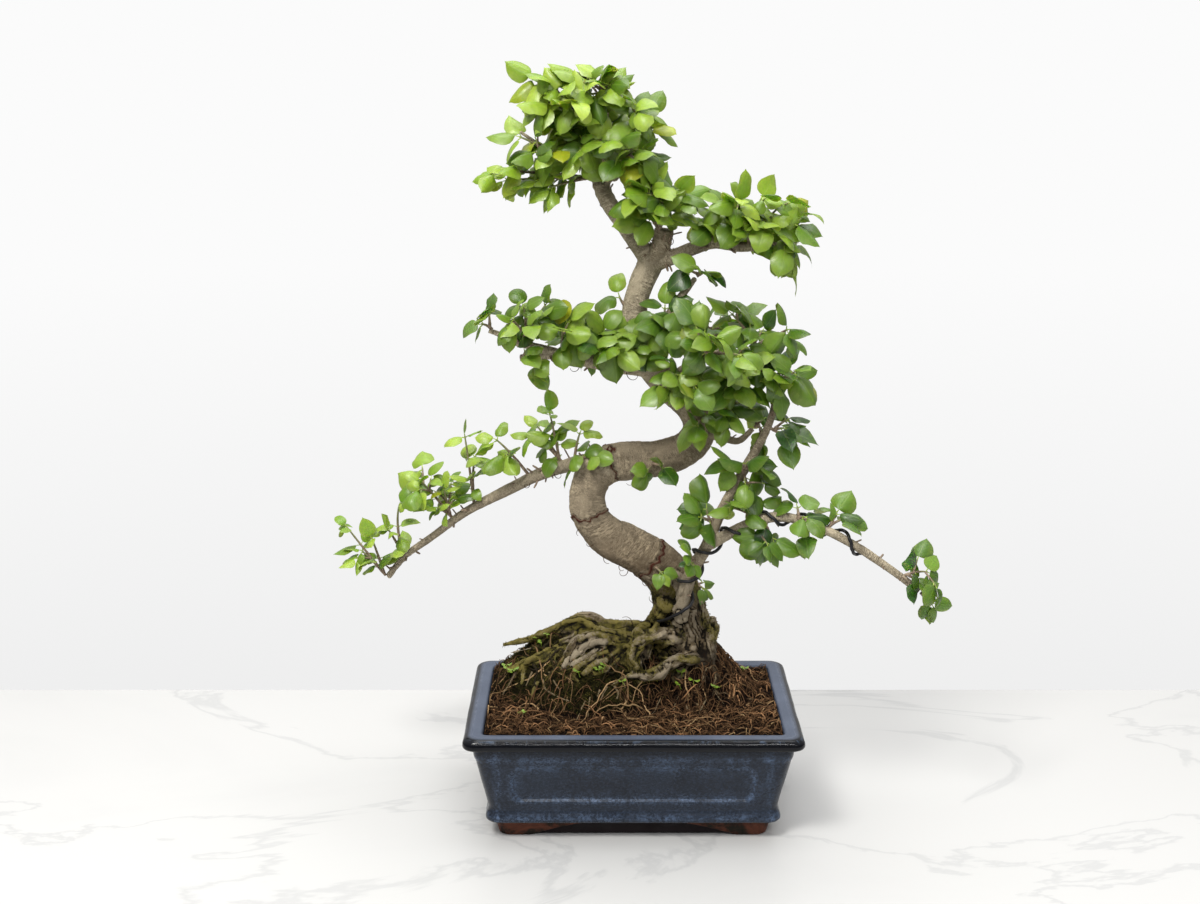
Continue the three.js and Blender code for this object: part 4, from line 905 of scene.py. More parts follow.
def apply_modifiers(obj):
    bpy.context.view_layer.update()
    made = bpy.data.meshes.new_from_object(obj.evaluated_get(bpy.context.evaluated_depsgraph_get()))
    old = obj.data
    obj.modifiers.clear()
    obj.data = made
    made.name = old.name
    bpy.data.meshes.remove(old)


def arch_height(x, y):
    """How high the foot ring's lower edge stands over the table."""
    lift = 0.0
    for place, across, (low, high), half in (
        (x, y, ARCH["long"], FOOT["half_y"]),
        (y, x, ARCH["short"], FOOT["half_x"]),
    ):
        if abs(across) < half - FOOT["wall"] - 1 or abs(place) >= low:
            continue
        share = np.clip((low - abs(place)) / (low - high), 0, 1)
        lift = max(lift, ARCH["top"] * (1 - (1 - share) ** ARCH["curve"]))
    return lift


def foot_ring(inset, height):
    """One ring of the foot, which spreads a little towards the pot."""
    half = np.array((FOOT["half_x"], FOOT["half_y"]))
    ring = rounded_ring(*(half - inset), FOOT["corner"] - inset / 2, 0, *FOOT_POINTS)
    spread = FOOT["spread"] * height / FOOT["top"]
    ring[:, :2] += np.sign(ring[:, :2]) * spread[:, None] * np.abs(ring[:, :2]) / half
    ring[:, 2] = height
    return ring


def make_foot():
    """The unglazed ring: a plain wall set back behind an arch on each side, and a foot at each corner."""
    plain = rounded_ring(FOOT["half_x"], FOOT["half_y"], FOOT["corner"], 0, *FOOT_POINTS)
    arch = np.array([arch_height(x, y) for x, y, _ in plain])
    low = np.minimum(arch, APRON["lift"])
    top = np.full(len(arch), FOOT["top"] + FOOT["into_pot"])
    edge, recess, wall = FOOT["edge"], APRON["recess"], FOOT["wall"]
    # Inset, height and whether the row lies in the recess, which gets painted shade
    rows = [
        (0.0, top, 0), (0.0, (top + arch) / 2, 0), (0.0, arch + edge, 0), (edge, arch + 0.02, 0),
        (recess, arch, 1), (recess, np.maximum(low, arch - APRON["step"]), 1), (recess, low, 1),
        (wall - edge, low, 0), (wall, low + edge, 0), (wall, top, 0),
    ]
    points = np.vstack([foot_ring(inset, height) for inset, height, _ in rows])
    # The recess rows get painted shade where an arch opens
    shade = np.concatenate([dark * np.clip(arch, 0, 1) for _, _, dark in rows])
    size, count = len(plain), len(rows)
    faces = []
    for i in range(count):
        here, above = i * size, (i + 1) % count * size
        for j in range(size):
            k = (j + 1) % size
            faces.append([here + j, above + j, above + k, here + k])
    paint = np.column_stack([shade, shade * 0, shade * 0])
    foot = make_mesh("pot_foot", points, faces, TERRACOTTA, ("pot",), "glazed_clay", paint)
    weld(foot)
    foot.data.set_sharp_from_angle(angle=math.radians(38))


def weld(obj, distance=1e-6):
    shape = bmesh.new()
    shape.from_mesh(obj.data)
    bmesh.ops.remove_doubles(shape, verts=shape.verts, dist=distance)
    bmesh.ops.recalc_face_normals(shape, faces=shape.faces)
    shape.to_mesh(obj.data)
    shape.free()


# The soil

SOIL = {
    "level": 81.5, "edge": 1.0, "relief": 1.3, "sink": 0.6, "inset": 15.0, "bottom": 24.6,
    "edge_slope": 1.2,
}
SOIL_RINGS = 54
# How much narrower the soil is at its bottom
SOIL_TAPER = 8.5
# The bank's slope at its left and right ends
BANK = {"left": -60.0, "left_slope": 0.75, "right": 0.0, "right_slope": 1.1}
CARRIED = np.vstack([
    spline(points, 5.0)
    for points in (
        ROOTS["left"][:6], ROOTS["mid"][:4], ROOTS["grey"], ROOTS["moss"], ROOTS["right"],
        ROOTS["back"], ROOTS["backLeft"], ROOTS["backRight"], TRUNK[:2],
    )
])
# Coir fibres and tan rootlets on the soil: how many, places along each, lengths, bend and lift
FIBRES = {
    "count": 5000, "places": 6, "length": (6, 20), "bend": 0.5, "lift": 5.0, "thin": 0.18,
    "stout": 0.46,
}
TAN_ROOTS = {
    "count": 110, "places": 14, "length": (22, 55), "bend": 0.28, "lift": 5.0,
    "radius": (0.35, 0.75),
}
# Where most of the tan rootlets lie, and how wide that area is
TAN_AREA = {"x": 35.0, "y": -35.0, "half_x": 40.0, "half_y": 30.0}


def soil_half(margin):
    """Half the soil's length and depth, less a margin."""
    return POT["half_x"] - SOIL["inset"] - margin, POT["half_y"] - SOIL["inset"] - margin


def soil_top(x, y):
    """The soil's height at arrays of places: level near the rim, banked up under the roots."""
    x, y = np.asarray(x, float), np.asarray(y, float)
    top = np.full(x.shape, SOIL["level"])
    for px, py, pz, radius in CARRIED:
        away = np.maximum(0, np.hypot(x - px, y - py) - radius * 0.8)
        slope = np.interp(px, (BANK["left"], BANK["right"]), (BANK["left_slope"], BANK["right_slope"]))
        top = np.maximum(top, pz - SOIL["sink"] * radius - slope * away)
    half_x, half_y = soil_half(-0.5)
    room = np.minimum(half_x - np.abs(x), half_y - np.abs(y))
    top = np.minimum(top, SOIL["level"] + SOIL["edge_slope"] * room)
    crumb = np.sin(x * 0.21 + np.sin(y * 0.13) * 2) * np.cos(y * 0.24 + x * 0.05)
    return top + SOIL["relief"] * crumb


def moss_share(x, y, z):
    """Moss covers the mound's left and its top, and thins out to the right."""
    left = between(x, 34, -12) * between(x, -112, -98)
    raised = between(z - SOIL["level"], 1, 8)
    return left * raised * between(y, -58, -44)


def make_soil():
    half_x, half_y = soil_half(0)
    corner = POT["inner_corner"]
    bottom = (half_x - SOIL_TAPER, half_y - SOIL_TAPER, corner, SOIL["bottom"])
    rings = [rounded_ring(*bottom, *SOIL_POINTS)]
    for i in range(SOIL_RINGS):
        share = 1 - i / SOIL_RINGS
        ring = rounded_ring(half_x * share, half_y * share, corner * share, 0, *SOIL_POINTS)
        ring[:, 2] = soil_top(ring[:, 0], ring[:, 1]) if i else SOIL["level"] - SOIL["edge"]
        rings.append(ring)
    size = len(rings[0])
    points = np.vstack(rings)
    top = points[size:]
    rough = np.array([noise.fractal(Vector(p) * 0.16, 0.8, 2.1, 4) for p in top]) + 0.5 * grains(top, 0.75)
    edge = np.minimum(half_x - np.abs(top[:, 0]), half_y - np.abs(top[:, 1]))
    top[:, 2] += rough * 1.5 * np.clip(edge / 4, 0.25, 1)
    moss = moss_share(*points.T)
    paint = np.column_stack([moss, moss * 0, moss * 0])
    make_mesh("soil_bed", points, tube_faces(len(rings), size), SOIL_LOOK, ("soil",), "coir_soil", paint)


def on_soil(rng, count, keep):
    """Random places on the soil, kept with the chance that keep gives."""
    half = np.array(soil_half(1.5))
    places = np.zeros((0, 2))
    while len(places) < count:
        tries = rng.uniform(-half, half, (count * 2, 2))
        z = soil_top(tries[:, 0], tries[:, 1])
        places = np.vstack([places, tries[rng.random(len(tries)) < keep(tries[:, 0], tries[:, 1], z)]])
    return places[:count]


def wander(starts, heading, step, margin):
    """Paths over the soil from each start along a heading per step, held within the pot."""
    half_x, half_y = soil_half(margin)
    x = starts[:, :1] + np.cumsum(np.cos(heading) * step, axis=1)
    y = starts[:, 1:2] + np.cumsum(np.sin(heading) * step, axis=1)
    return np.clip(x, -half_x, half_x), np.clip(y, -half_y, half_y)


def lie_on_soil(rng, starts, lengths, kind):
    """Paths that wander over the soil from each start and arch up a little."""
    count, places = len(starts), kind["places"]
    heading = rng.uniform(0, 2 * math.pi, count)
    turn = np.cumsum(rng.normal(0, kind["bend"], (count, places)), axis=1)
    x, y = wander(starts, heading[:, None] + turn, (lengths / (places - 1))[:, None], 0.8)
    share = np.linspace(0, 1, places)[None, :]
    arch = np.sin(share * math.pi) * (rng.random((count, 1)) ** 1.6) * kind["lift"]
    z = soil_top(x, y) + arch - 0.4 + 0.5 * rng.normal(0, 0.6, (count, places))
    return np.stack([x, y, z], axis=-1)


def make_fibres(rng):
    count, places = FIBRES["count"], FIBRES["places"]
    starts = on_soil(rng, count, lambda x, y, z: 1 - 0.93 * moss_share(x, y, z))
    lengths = rng.uniform(*FIBRES["length"], count)
    paths = lie_on_soil(rng, starts, lengths, FIBRES)
    x, y, z = paths[:, places // 2].T
    height = z - soil_top(x, y)
    stout = rng.random((count, 1))
    radii = (FIBRES["thin"] + FIBRES["stout"] * stout**2) * np.linspace(1, 0.6, places)[None, :]
    clump = np.array([noise.noise(Vector((x * 0.11, y * 0.16, 4.0))) for x, y in starts])
    bright = 1.2 * (stout[:, 0] * rng.uniform(0.75, 1, count)) ** 7
    # Fibres that lie higher over the soil are painted lighter: painted light on raised fibres
    bright = np.clip(bright + 0.06 * height + 0.24 * clump - 0.03, 0, 1)
    shade = np.column_stack([bright, (rng.random(count) < 0.1) * rng.random(count), np.zeros(count)])
    strand_piece("coir_fibres", paths, radii, 3, shade, COIR, "coir_soil")


def make_tan_rootlets(rng):
    count, places = TAN_ROOTS["count"], TAN_ROOTS["places"]

    def chance(x, y, z):
        across = (x - TAN_AREA["x"]) / TAN_AREA["half_x"]
        ahead = (y - TAN_AREA["y"]) / TAN_AREA["half_y"]
        return 0.25 + 0.75 * np.exp(-(across**2 + ahead**2))

    starts = on_soil(rng, count, chance)
    lengths = rng.uniform(*TAN_ROOTS["length"], count)
    paths = lie_on_soil(rng, starts, lengths, TAN_ROOTS)
    radii = rng.uniform(*TAN_ROOTS["radius"], (count, 1)) * np.linspace(1, 0.45, places)[None, :]
    shade = np.column_stack([rng.random(count), rng.uniform(0.5, 1, count), np.zeros(count)])
    strand_piece("tan_rootlets", paths, radii, 5, shade, COIR, "coir_soil")


# The wood

BARK_VOXEL = 0.95
WOOD_TRIANGLES = 190000
# How pale the bark is on some limbs
PALE = {"sucker": 0.6, "wired": 0.95, "lowerLeft": 0.8, "apex": 0.95, "stub": 0.5, "upperRight": 0.75}

# Roots over the root mass, as places in the photo with a radius at the start and at the end and a share
# of moss. Each is laid on the first wood or soil that the camera sees there; a third number of a place
# is a depth in the air.
ROOT_DETAIL = [
    ((2.4, 1.9, 0.9), [(592.9, 627.1), (581.4, 621), (567.1, 622.4), (552.9, 629), (540, 634.5),
        (528, 638.6)]),
    ((1.0, 0.6, 0.3), [(537, 647), (523, 650, 30), (510, 653, 30)]),
    ((2.4, 1.2, 0.9), [(558.6, 647.1), (547.1, 650), (535.7, 655.7), (525.7, 662.9), (518.6, 671.4),
        (511, 682)]),
    ((2.2, 2.0, 0.8), [(558.6, 641.4), (570, 637.1), (581.4, 631.4), (592.9, 628.6), (604.3, 630.7),
        (615.7, 634.3)]),
    ((2.9, 2.0, 0.65), [(608.6, 645.7), (604.3, 637.1), (592.9, 635), (581.4, 638.6), (570, 641.4),
        (561.4, 642.9)]),
    ((3.6, 2.4, 0.0), [(605.7, 642.9), (595.7, 641.4), (584.3, 647.1), (575.7, 654.3), (567.1, 662.9),
        (563, 668)]),
    ((2.4, 1.8, 0.0), [(601.4, 649.3), (590, 654.3), (578.6, 661.4), (570, 667.1)]),
    ((3.0, 2.2, 0.75), [(608.6, 651.4), (598.6, 654.3), (588.6, 661.4), (578.6, 667.1), (574, 674.3)]),
    ((2.8, 2.4, 0.8), [(607.1, 660), (598.6, 662.9), (590, 668.6), (582, 675)]),
    ((2.6, 2.2, 0.9), [(608.6, 667.1), (602.9, 671.4), (594, 675)]),
    ((1.4, 1.0, 0.7), [(632.9, 645.7), (622.9, 647.1), (614.3, 652.9), (608.6, 660)]),
    ((1.1, 0.8, 0.8), [(630, 650), (622.9, 654.3), (617.1, 660), (611.4, 664.3)]),
    ((2.7, 1.8, 0.5), [(665.7, 632.9), (652.9, 637.1), (641.4, 638.6), (634.3, 644.3), (631.4, 652.9),
        (632.9, 661.4),
                  (638.6, 668.6)]),
    ((2.2, 1.6, 0.35), [(642.9, 640), (641.4, 648.6), (640.7, 657.1), (641.4, 664.3)]),
    ((0.8, 0.6, 0.5), [(646.4, 650), (645.7, 657.1), (643.6, 662.9), (651.4, 667.1), (658.6, 670)]),
    ((3.2, 2.6, 0.6), [(678.6, 640), (670, 641.4), (661.4, 645.7), (657.1, 649.3)]),
    ((0.9, 0.8, 0.5), [(658.6, 657.1), (670, 657.9), (680, 657.1)]),
    ((2.4, 2.0, 0.5), [(695.7, 660), (687.1, 660), (678.6, 658.6), (670, 660), (664.3, 662.9)]),
    ((3.6, 1.0, 0.4), [(667.5, 663), (666.5, 670.5), (658.6, 676.5), (647.1, 677.9), (637.1, 675),
        (627.1, 676.4),
                  (618.6, 681.4), (611.4, 685.7)]),
    ((0.9, 0.8, 0.6), [(604.3, 671.4), (611.4, 665.7), (618.6, 662.9), (625.7, 665.7), (630, 670)]),
    ((3.2, 3.4, 0.5), [(700, 600), (704, 614), (708, 628), (711, 640)]),
    ((7.0, 4.5, 0.8), [(668, 600), (660, 612), (650, 624), (637, 634)]),
    ((2.4, 1.6, 0.7), [(666, 604), (660, 618), (652, 632)]),
    ((5.0, 3.6, 0.6), [(711, 618), (714, 630), (711, 640)]),
    ((1.3, 1.0, 0.8), [(538, 682), (534, 690), (532, 697)]),
    ((1.9, 1.5, 0.8), [(524, 669), (523, 677), (522, 685)]),
    ((1.5, 1.0, 0.8), [(571, 675), (580, 684)]),
    ((1.2, 0.8, 0.8), [(560, 668), (566, 676), (575, 680)]),
]
# Thin roots that come out of the soil or hang over the mound, in the same way
THIN_ROOTS = [
    (0.9, [(543, 680), (545, 688), (553, 694), (570, 701)]),
    (0.8, [(532, 672), (526, 686)]),
    (0.8, [(549, 672), (556, 684), (560, 690)]),
    (1.0, [(516, 672), (508, 686), (503, 695)]),
    (0.6, [(590, 697), (589, 707), (588, 718)]),
    (0.6, [(586, 700), (580, 712), (575, 722)]),
    (0.9, [(607, 687), (603, 694), (601, 700)]),
    (1.0, [(614, 686), (618, 693), (616, 699)]),
    (0.8, [(600, 690), (597, 697)]),
    (0.7, [(681, 693), (676, 702), (673, 712)]),
    (0.8, [(685, 700), (697, 704), (704, 712), (708, 722)]),
    (0.7, [(690, 690), (699, 696), (705, 703)]),
    (0.6, [(712, 688), (718, 697), (724, 704)]),
    (0.8, [(626, 676), (624, 688), (630, 697)]),
    (0.6, [(706, 700), (700, 712), (699, 728)]),
    (0.7, [(686, 706), (690, 718), (688, 730)]),
    (0.5, [(735, 690), (748, 698), (760, 700)]),
    (0.5, [(660, 700), (655, 712), (648, 720)]),
]


# The depth of a root that the camera sees against the wall
ROOT_MIDDLE = 30.0
# Distances from the camera at which a ray may meet the soil: from, to and step
REACH = (1150.0, 1500.0, 0.5)


def photo_ray(u, v):
    """The camera's place, and the direction to a pixel of the photo."""
    way = np.array((0.0, math.cos(PITCH), -math.sin(PITCH))) * FOCAL
    way += np.array((u - PHOTO["width"] / 2, 0.0, 0.0))
    way += np.array((0.0, math.sin(PITCH), math.cos(PITCH))) * (PHOTO["height"] / 2 - v)
    return np.array(CAMERA["place"]), unit(way)


def settle(spot, surface, stand):
    """The first place on the wood or soil behind a pixel, moved towards the camera by stand."""
    eye, way = photo_ray(spot[0], spot[1])
    if len(spot) == 3:
        return eye + way * (spot[2] - eye[1]) / way[1]
    reach = np.arange(*REACH)
    places = eye + reach[:, None] * way
    buried = (places[:, 2] < soil_top(places[:, 0], places[:, 1])) & (places[:, 1] < soil_half(0)[1])
    distance = float(reach[np.argmax(buried)]) if buried.any() else (ROOT_MIDDLE - eye[1]) / way[1]
    hit = surface.ray_cast(Vector(eye), Vector(way))
    if hit[0] is not None:
        distance = min(distance, hit[3])
    return eye + way * (distance - stand)


def laid_root(spots, first, last, surface, spacing=1.5):
    """A root's path over what the camera sees at each spot."""
    radii = np.linspace(first, last, len(spots))
    rows = [(*settle(spot, surface, 0.25 * r), r) for spot, r in zip(spots, radii)]
    return spline(rows, spacing)


def hugging(path, rng, count):
    """Thin strands of wood that wind along a thick one, half sunk in it."""
    along, normals, binormals = carried_frames(path[:, :3])
    for _ in range(count):
        first = rng.integers(0, max(1, len(path) // 3))
        last = len(path) - rng.integers(0, max(1, len(path) // 4))
        part = slice(first, last)
        size = last - first
        angle = rng.uniform(0, 2 * math.pi) + np.cumsum(rng.normal(rng.normal(0, 0.02), 0.05, size))
        reach = path[part, 3] * rng.uniform(0.72, 0.92)
        sway = np.outer(np.arange(size), rng.uniform(0.2, 0.5, 3)) + rng.uniform(0, 6, 3)
        centre = path[part, :3] + 0.9 * np.sin(sway)
        centre += (np.cos(angle) * reach)[:, None] * normals[part]
        centre += (np.sin(angle) * reach)[:, None] * binormals[part]
        yield np.column_stack([centre, np.clip(path[part, 3] * rng.uniform(0.22, 0.4), 1.2, 4.0)])


def wood_lofts():
    """Name, smooth path and loft of the trunk, each limb and each root."""
    for name, points in {"trunk": TRUNK, **LIMBS, **{"root_" + k: v for k, v in ROOTS.items()}}.items():
        path = spline(points, 2.0)
        seed = sum(map(ord, name))
        sides, strength = (40, 0.07) if name == "trunk" else (18, 0.05)

        def flute(angle, place, seed=seed, strength=strength):
            bend = 0.55 * np.sin(3 * angle + place * 0.06 + seed) + 0.45 * np.sin(5 * angle - place * 0.09)
            return 1 + strength * bend

        yield name, path, tube(path[:, :3], path[:, 3], sides, flute)


def wood_strands():
    """One pile of tubes for all the wood, and each tube's name, path and own share of moss or -1."""
    rng = np.random.default_rng(41)
    pile = Pile()
    strands_of_wood = []
    for name, path, (points, faces) in wood_lofts():
        pile.add(points, faces)
        strands_of_wood.append((name, path, -1.0))
    surface = BVHTree.FromPolygons([Vector(p) for p in np.vstack(pile.points)], pile.faces)
    added = []
    for name, path, _ in strands_of_wood:
        if name == "trunk":
            added += [(strand, -1.0) for strand in hugging(path[path[:, 2] < 172], rng, 5)]
        elif name.startswith("root_"):
            added += [(strand, -1.0) for strand in hugging(path, rng, 4)]
    for (first, last, moss), spots in ROOT_DETAIL:
        added.append((laid_root(spots, first, last, surface), moss))
    for path, moss in added:
        wobble = 1 + 0.16 * np.sin(np.arange(len(path)) * rng.uniform(0.5, 1.1) + rng.uniform(0, 6))
        pile.add(*tube(path[:, :3], path[:, 3] * wobble, 10))
        strands_of_wood.append(("root_detail", path, moss))
    return pile, strands_of_wood


def joined_wood(pile):
    """The tubes as one closed skin."""
    mesh = bpy.data.meshes.new("tree_wood")
    mesh.from_pydata((np.vstack(pile.points) * MM).tolist(), [], pile.faces)
    wood = add_object("tree_wood", mesh)
    remesh = wood.modifiers.new("remesh", "REMESH")
    remesh.mode = "VOXEL"
    remesh.voxel_size = BARK_VOXEL * MM
    ease = wood.modifiers.new("ease", "SMOOTH")
    ease.factor = 0.5
    ease.iterations = 3
    apply_modifiers(wood)
    return wood


def make_wood():
    pile, strands_of_wood = wood_strands()
    wood = joined_wood(pile)
    mesh = wood.data
    co = read_vectors(mesh.vertices, "co") / MM
    normals = read_vectors(mesh.vertex_normals, "vector")
    names, paths, own_moss = zip(*strands_of_wood)
    sizes = [len(path) for path in paths]
    axis = np.vstack(paths)
    axis_tangents = np.vstack([tangents(path[:, :3]) for path in paths])
    tree = point_tree(axis[:, :3])
    nearest = np.array([tree.find(p)[1] for p in co])
    away = co - axis[nearest, :3]
    along = np.einsum("ij,ij->i", away, axis_tangents[nearest])
    across = away - along[:, None] * axis_tangents[nearest]
    place = nearest * 2.0 + along
    near_names = np.repeat(names, sizes)[nearest]
    on_trunk = near_names == "trunk"
    is_root = np.char.startswith(near_names, "root_")
    moss = np.repeat(own_moss, sizes)[nearest]
    push, paint = bark_relief(co, across, place, axis[nearest, 3], on_trunk, is_root, moss)
    co = co + normals * push[:, None]
    mesh.vertices.foreach_set("co", (co * MM).ravel())
    mesh.update()
    mesh.shade_smooth()
    height = co[:, 2]
    # Painted shade in hollows and painted light on raised places, from how far each point lies below its
    # surroundings
    hollow_shade = 0.55 * hollowness(mesh, co, 5) + 0.34 * hollowness(mesh, co, 45) * (height < 185)
    paint = np.column_stack([paint, np.clip(0.5 - hollow_shade, 0, 1)])
    tone = 0.42 * between(height, 190, 230) + 0.58 * between(height, 280, 340)
    for name, pale in PALE.items():
        tone = np.where(near_names == name, pale, tone)
    tone = np.where(is_root & (moss >= 0), 0.6 - 0.7 * moss, tone)
    add_field(mesh, "tone", tone[:, None] * np.ones(3))
    add_field(mesh, "grain", across * 0.8 + place[:, None] * np.array((0.10, 0.08, 0.09)))
    add_field(mesh, "rings", across * 0.22 + place[:, None] * np.array((0.62, 0.5, 0.57)))
    normals = read_vectors(mesh.vertex_normals, "vector").copy()
    finish_piece(wood, BARK, ("trunk",), "bark", paint)
    thin = wood.modifiers.new("thin", "DECIMATE")
    thin.ratio = WOOD_TRIANGLES / sum(len(face.vertices) - 2 for face in mesh.polygons)
    apply_modifiers(wood)
    return wood, co, normals, paint


def read_vectors(items, name):
    values = np.zeros(len(items) * 3)
    items.foreach_get(name, values)
    return values.reshape(-1, 3)


def add_field(mesh, name, values):
    field = mesh.attributes.new(name, "FLOAT_VECTOR", "POINT")
    field.data.foreach_set("vector", values.astype(np.float32).ravel())


def hollowness(mesh, co, passes):
    """How far each point lies below its surroundings, in millimetres."""
    edges = np.zeros(len(mesh.edges) * 2, np.int32)
    mesh.edges.foreach_get("vertices", edges)
    a, b = edges.reshape(-1, 2).T
    count = np.bincount(a, minlength=len(co)) + np.bincount(b, minlength=len(co))
    smooth = co.copy()
    for _ in range(passes):
        total = np.zeros_like(smooth)
        for k in range(3):
            total[:, k] = np.bincount(a, smooth[b, k], len(co)) + np.bincount(b, smooth[a, k], len(co))
        smooth = 0.3 * smooth + 0.7 * total / np.maximum(count, 1)[:, None]
    return np.einsum("ij,ij->i", smooth - co, read_vectors(mesh.vertex_normals, "vector"))


# Rings of scar tissue round the trunk: a point on its axis and half the ring's width
SCARS = [((-33, 9, 228), 0.9), ((14, 18, 190), 1.1), ((-16, 13, 267), 0.9)]
# Holes between the roots and in the trunk, sunk a little and painted near-black as painted shade: middle and
# radius
HOLLOWS = [
    ((27, 4, 183), 4.5), ((56, 4, 119), 6.0), ((12, -2, 116), 5.0), ((-30, 0, 117), 4.0),
    ((14, -14, 176), 3.0),
]
# Where the apex forks and its bark is ringed: middle and radius
FORK = ((-22, 4, 482), 12.0)
# A root without moss: middle, radius, and the heights and depth within which it is bare
GREY_ROOT = {"x": -33.0, "y": 6.0, "radius": 17.0, "low": 108.0, "high": 132.0, "back": 18.0}


def bark_ridges(co, across, place, radius, is_root):
    """How far the bark stands out: ridges along the grain, lumps and wrinkles."""
    push = np.zeros(len(co))
    grain = across * 0.30
    for i, (x, y, z) in enumerate(grain):
        q = Vector((x + place[i] * 0.04, y + place[i] * 0.03, z + place[i] * 0.035))
        ridge = noise.noise(q) + 0.5 * noise.noise(q * 2.3)
        lump = noise.noise(Vector(co[i]) * 0.055)
        wrinkle = noise.noise(Vector((place[i] * 0.32, x * 0.3, z * 0.3)))
        fine = noise.noise(Vector(co[i]) * 0.55)
        size = max(min(radius[i] / 14, 1.4), 0.45 if is_root[i] else 0.0)
        push[i] = size * (0.55 * ridge + 0.9 * lump + 0.28 * wrinkle) + 0.16 * fine
    return push


def bark_moss(co, on_trunk, is_root, own_moss):
    """The share of moss: on the lower left, in patches, and on roots that have their own share."""
    height = co[:, 2]
    patch = grains(co, 0.075)
    moss = between(height, 165, 125) * between(co[:, 0], 42, 20)
    moss = np.clip(moss * 1.3 + 0.75 * patch - 0.15, 0, 1) * (height < 178)
    grey = bell(np.hypot(co[:, 0] - GREY_ROOT["x"], co[:, 1] - GREY_ROOT["y"]), 0, GREY_ROOT["radius"])
    grey *= (height > GREY_ROOT["low"]) * (height < GREY_ROOT["high"]) * is_root
    moss = np.clip(moss - 1.3 * grey * (co[:, 1] < GREY_ROOT["back"]), 0, 1)
    moss = np.where(own_moss >= 0, np.clip(own_moss + 0.6 * patch * (own_moss > 0), 0, 1), moss)
    return moss * (on_trunk | is_root)


def bark_relief(co, across, place, radius, on_trunk, is_root, own_moss):
    """How far each point of the wood is pushed out, and its paint."""
    push = bark_ridges(co, across, place, radius, is_root)
    paint = np.zeros((len(co), 3))
    height = co[:, 2]
    low = between(height, 190, 150)
    crack = grains(across * 0.2 + place[:, None] * np.array((0.035, 0.04, 0.03)), 1)
    knot = grains(co, 0.14) + 0.5 * grains(co, 0.3)
    push += low * (0.5 + 1.5 * knot - 1.9 * bell(crack, 0, 0.09)) * np.where(is_root, 0.5, 1.0)
    for centre, width in SCARS:
        away = np.linalg.norm(co - np.array(centre), axis=1)
        at = place[np.argmin(np.where(on_trunk, away, 1e9))]
        turn = np.arctan2(across[:, 1], across[:, 0] + across[:, 2])
        wave = 1.4 * np.sin(turn * 3 + centre[0]) + 4 * crack
        band = bell(place - at - wave, 0, width) * on_trunk
        push += 0.7 * band - 0.5 * bell(place - at - wave - 1.8 * width, 0, width) * on_trunk
        paint[:, 1] = np.maximum(paint[:, 1], np.clip(1.5 * band, 0, 1))
    # Sink each hole a little and paint it near-black: painted shade
    for centre, size in HOLLOWS:
        pit = bell(np.linalg.norm(co - np.array(centre), axis=1), 0, size)
        push -= 1.6 * pit
        paint[:, 2] = np.maximum(paint[:, 2], np.clip(pit * 1.3 - 0.2, 0, 1))
    fork = bell(np.linalg.norm(co - np.array(FORK[0]), axis=1), 0, FORK[1])
    push += 0.8 * fork * np.sin(place * 1.1)
    paint[:, 0] = bark_moss(co, on_trunk, is_root, own_moss)
    # Painted shade: near-black under the trunk's overhang at its right foot. Near-black also where the wood
    # meets the soil
    overhang_shade = between(co[:, 0], 44, 53) * between(height, 124, 112)
    buried = between(soil_top(co[:, 0], co[:, 1]) + 2.0 - height, 0, 4)
    paint[:, 2] = np.maximum(paint[:, 2], 0.85 * overhang_shade)
    paint[:, 2] = np.maximum(paint[:, 2], 0.8 * buried * (height < 130))
    return push, paint


# Hair roots, moss and seedlings

# Curled hair roots: where each leaves the bark, its direction and its length
HAIRS = [
    ((-8, 0, 178), (0.1, -0.6, -0.9), 14), ((-12, -2, 186), (-0.5, -0.3, -0.8), 9),
    ((-24, 0, 196), (-0.3, -0.5, -0.8), 10), ((-33, -2, 205), (-0.6, -0.3, -0.7), 8),
    ((6, -1, 168), (-0.8, -0.4, -0.4), 12), ((12, 0, 160), (-0.9, -0.2, 0.1), 11),
    ((16, 0, 150), (-0.7, -0.2, 0.8), 9), ((-44, 0, 216), (-0.8, -0.2, -0.5), 7),
    ((2, 2, 252), (0.2, -0.3, -1), 12), ((-60, 16, 254), (0.2, -0.4, -1), 11),
    ((-78, 24, 246), (0.1, -0.5, -1), 9), ((-40, -18, 344), (-0.1, -0.3, -1), 12),
    ((-5, -12, 338), (0.1, -0.3, -1), 16), ((62, -8, 150), (0.9, -0.2, 0.1), 8),
    ((26, -6, 430), (0.3, -0.4, -0.9), 10), ((22, -8, 434), (0.1, -0.6, -0.8), 9),
    ((30, -6, 438), (0.5, -0.4, -0.6), 9), ((-3, 20, 138), (-0.1, -0.2, 1), 13),
]
SEEDLINGS = [
    (-74, 33), (-65, 31), (-70, 24), (-29, -11), (-22, -10), (-40, -14), (-96, 18), (-91, 12), (-5, -14),
    (-4, 30), (39, 36), (37, 12), (41, 0), (47, -9), (41, -8), (65, -10), (-52, 52), (20, 62), (-84, -30),
    (86, 40),
]


# Places along a hair root, how far it curls in radians, and its radius at both ends
HAIR_ROOT = {"places": 16, "curl": (1.5, 4.2), "radii": (0.34, 0.14), "sides": 4}


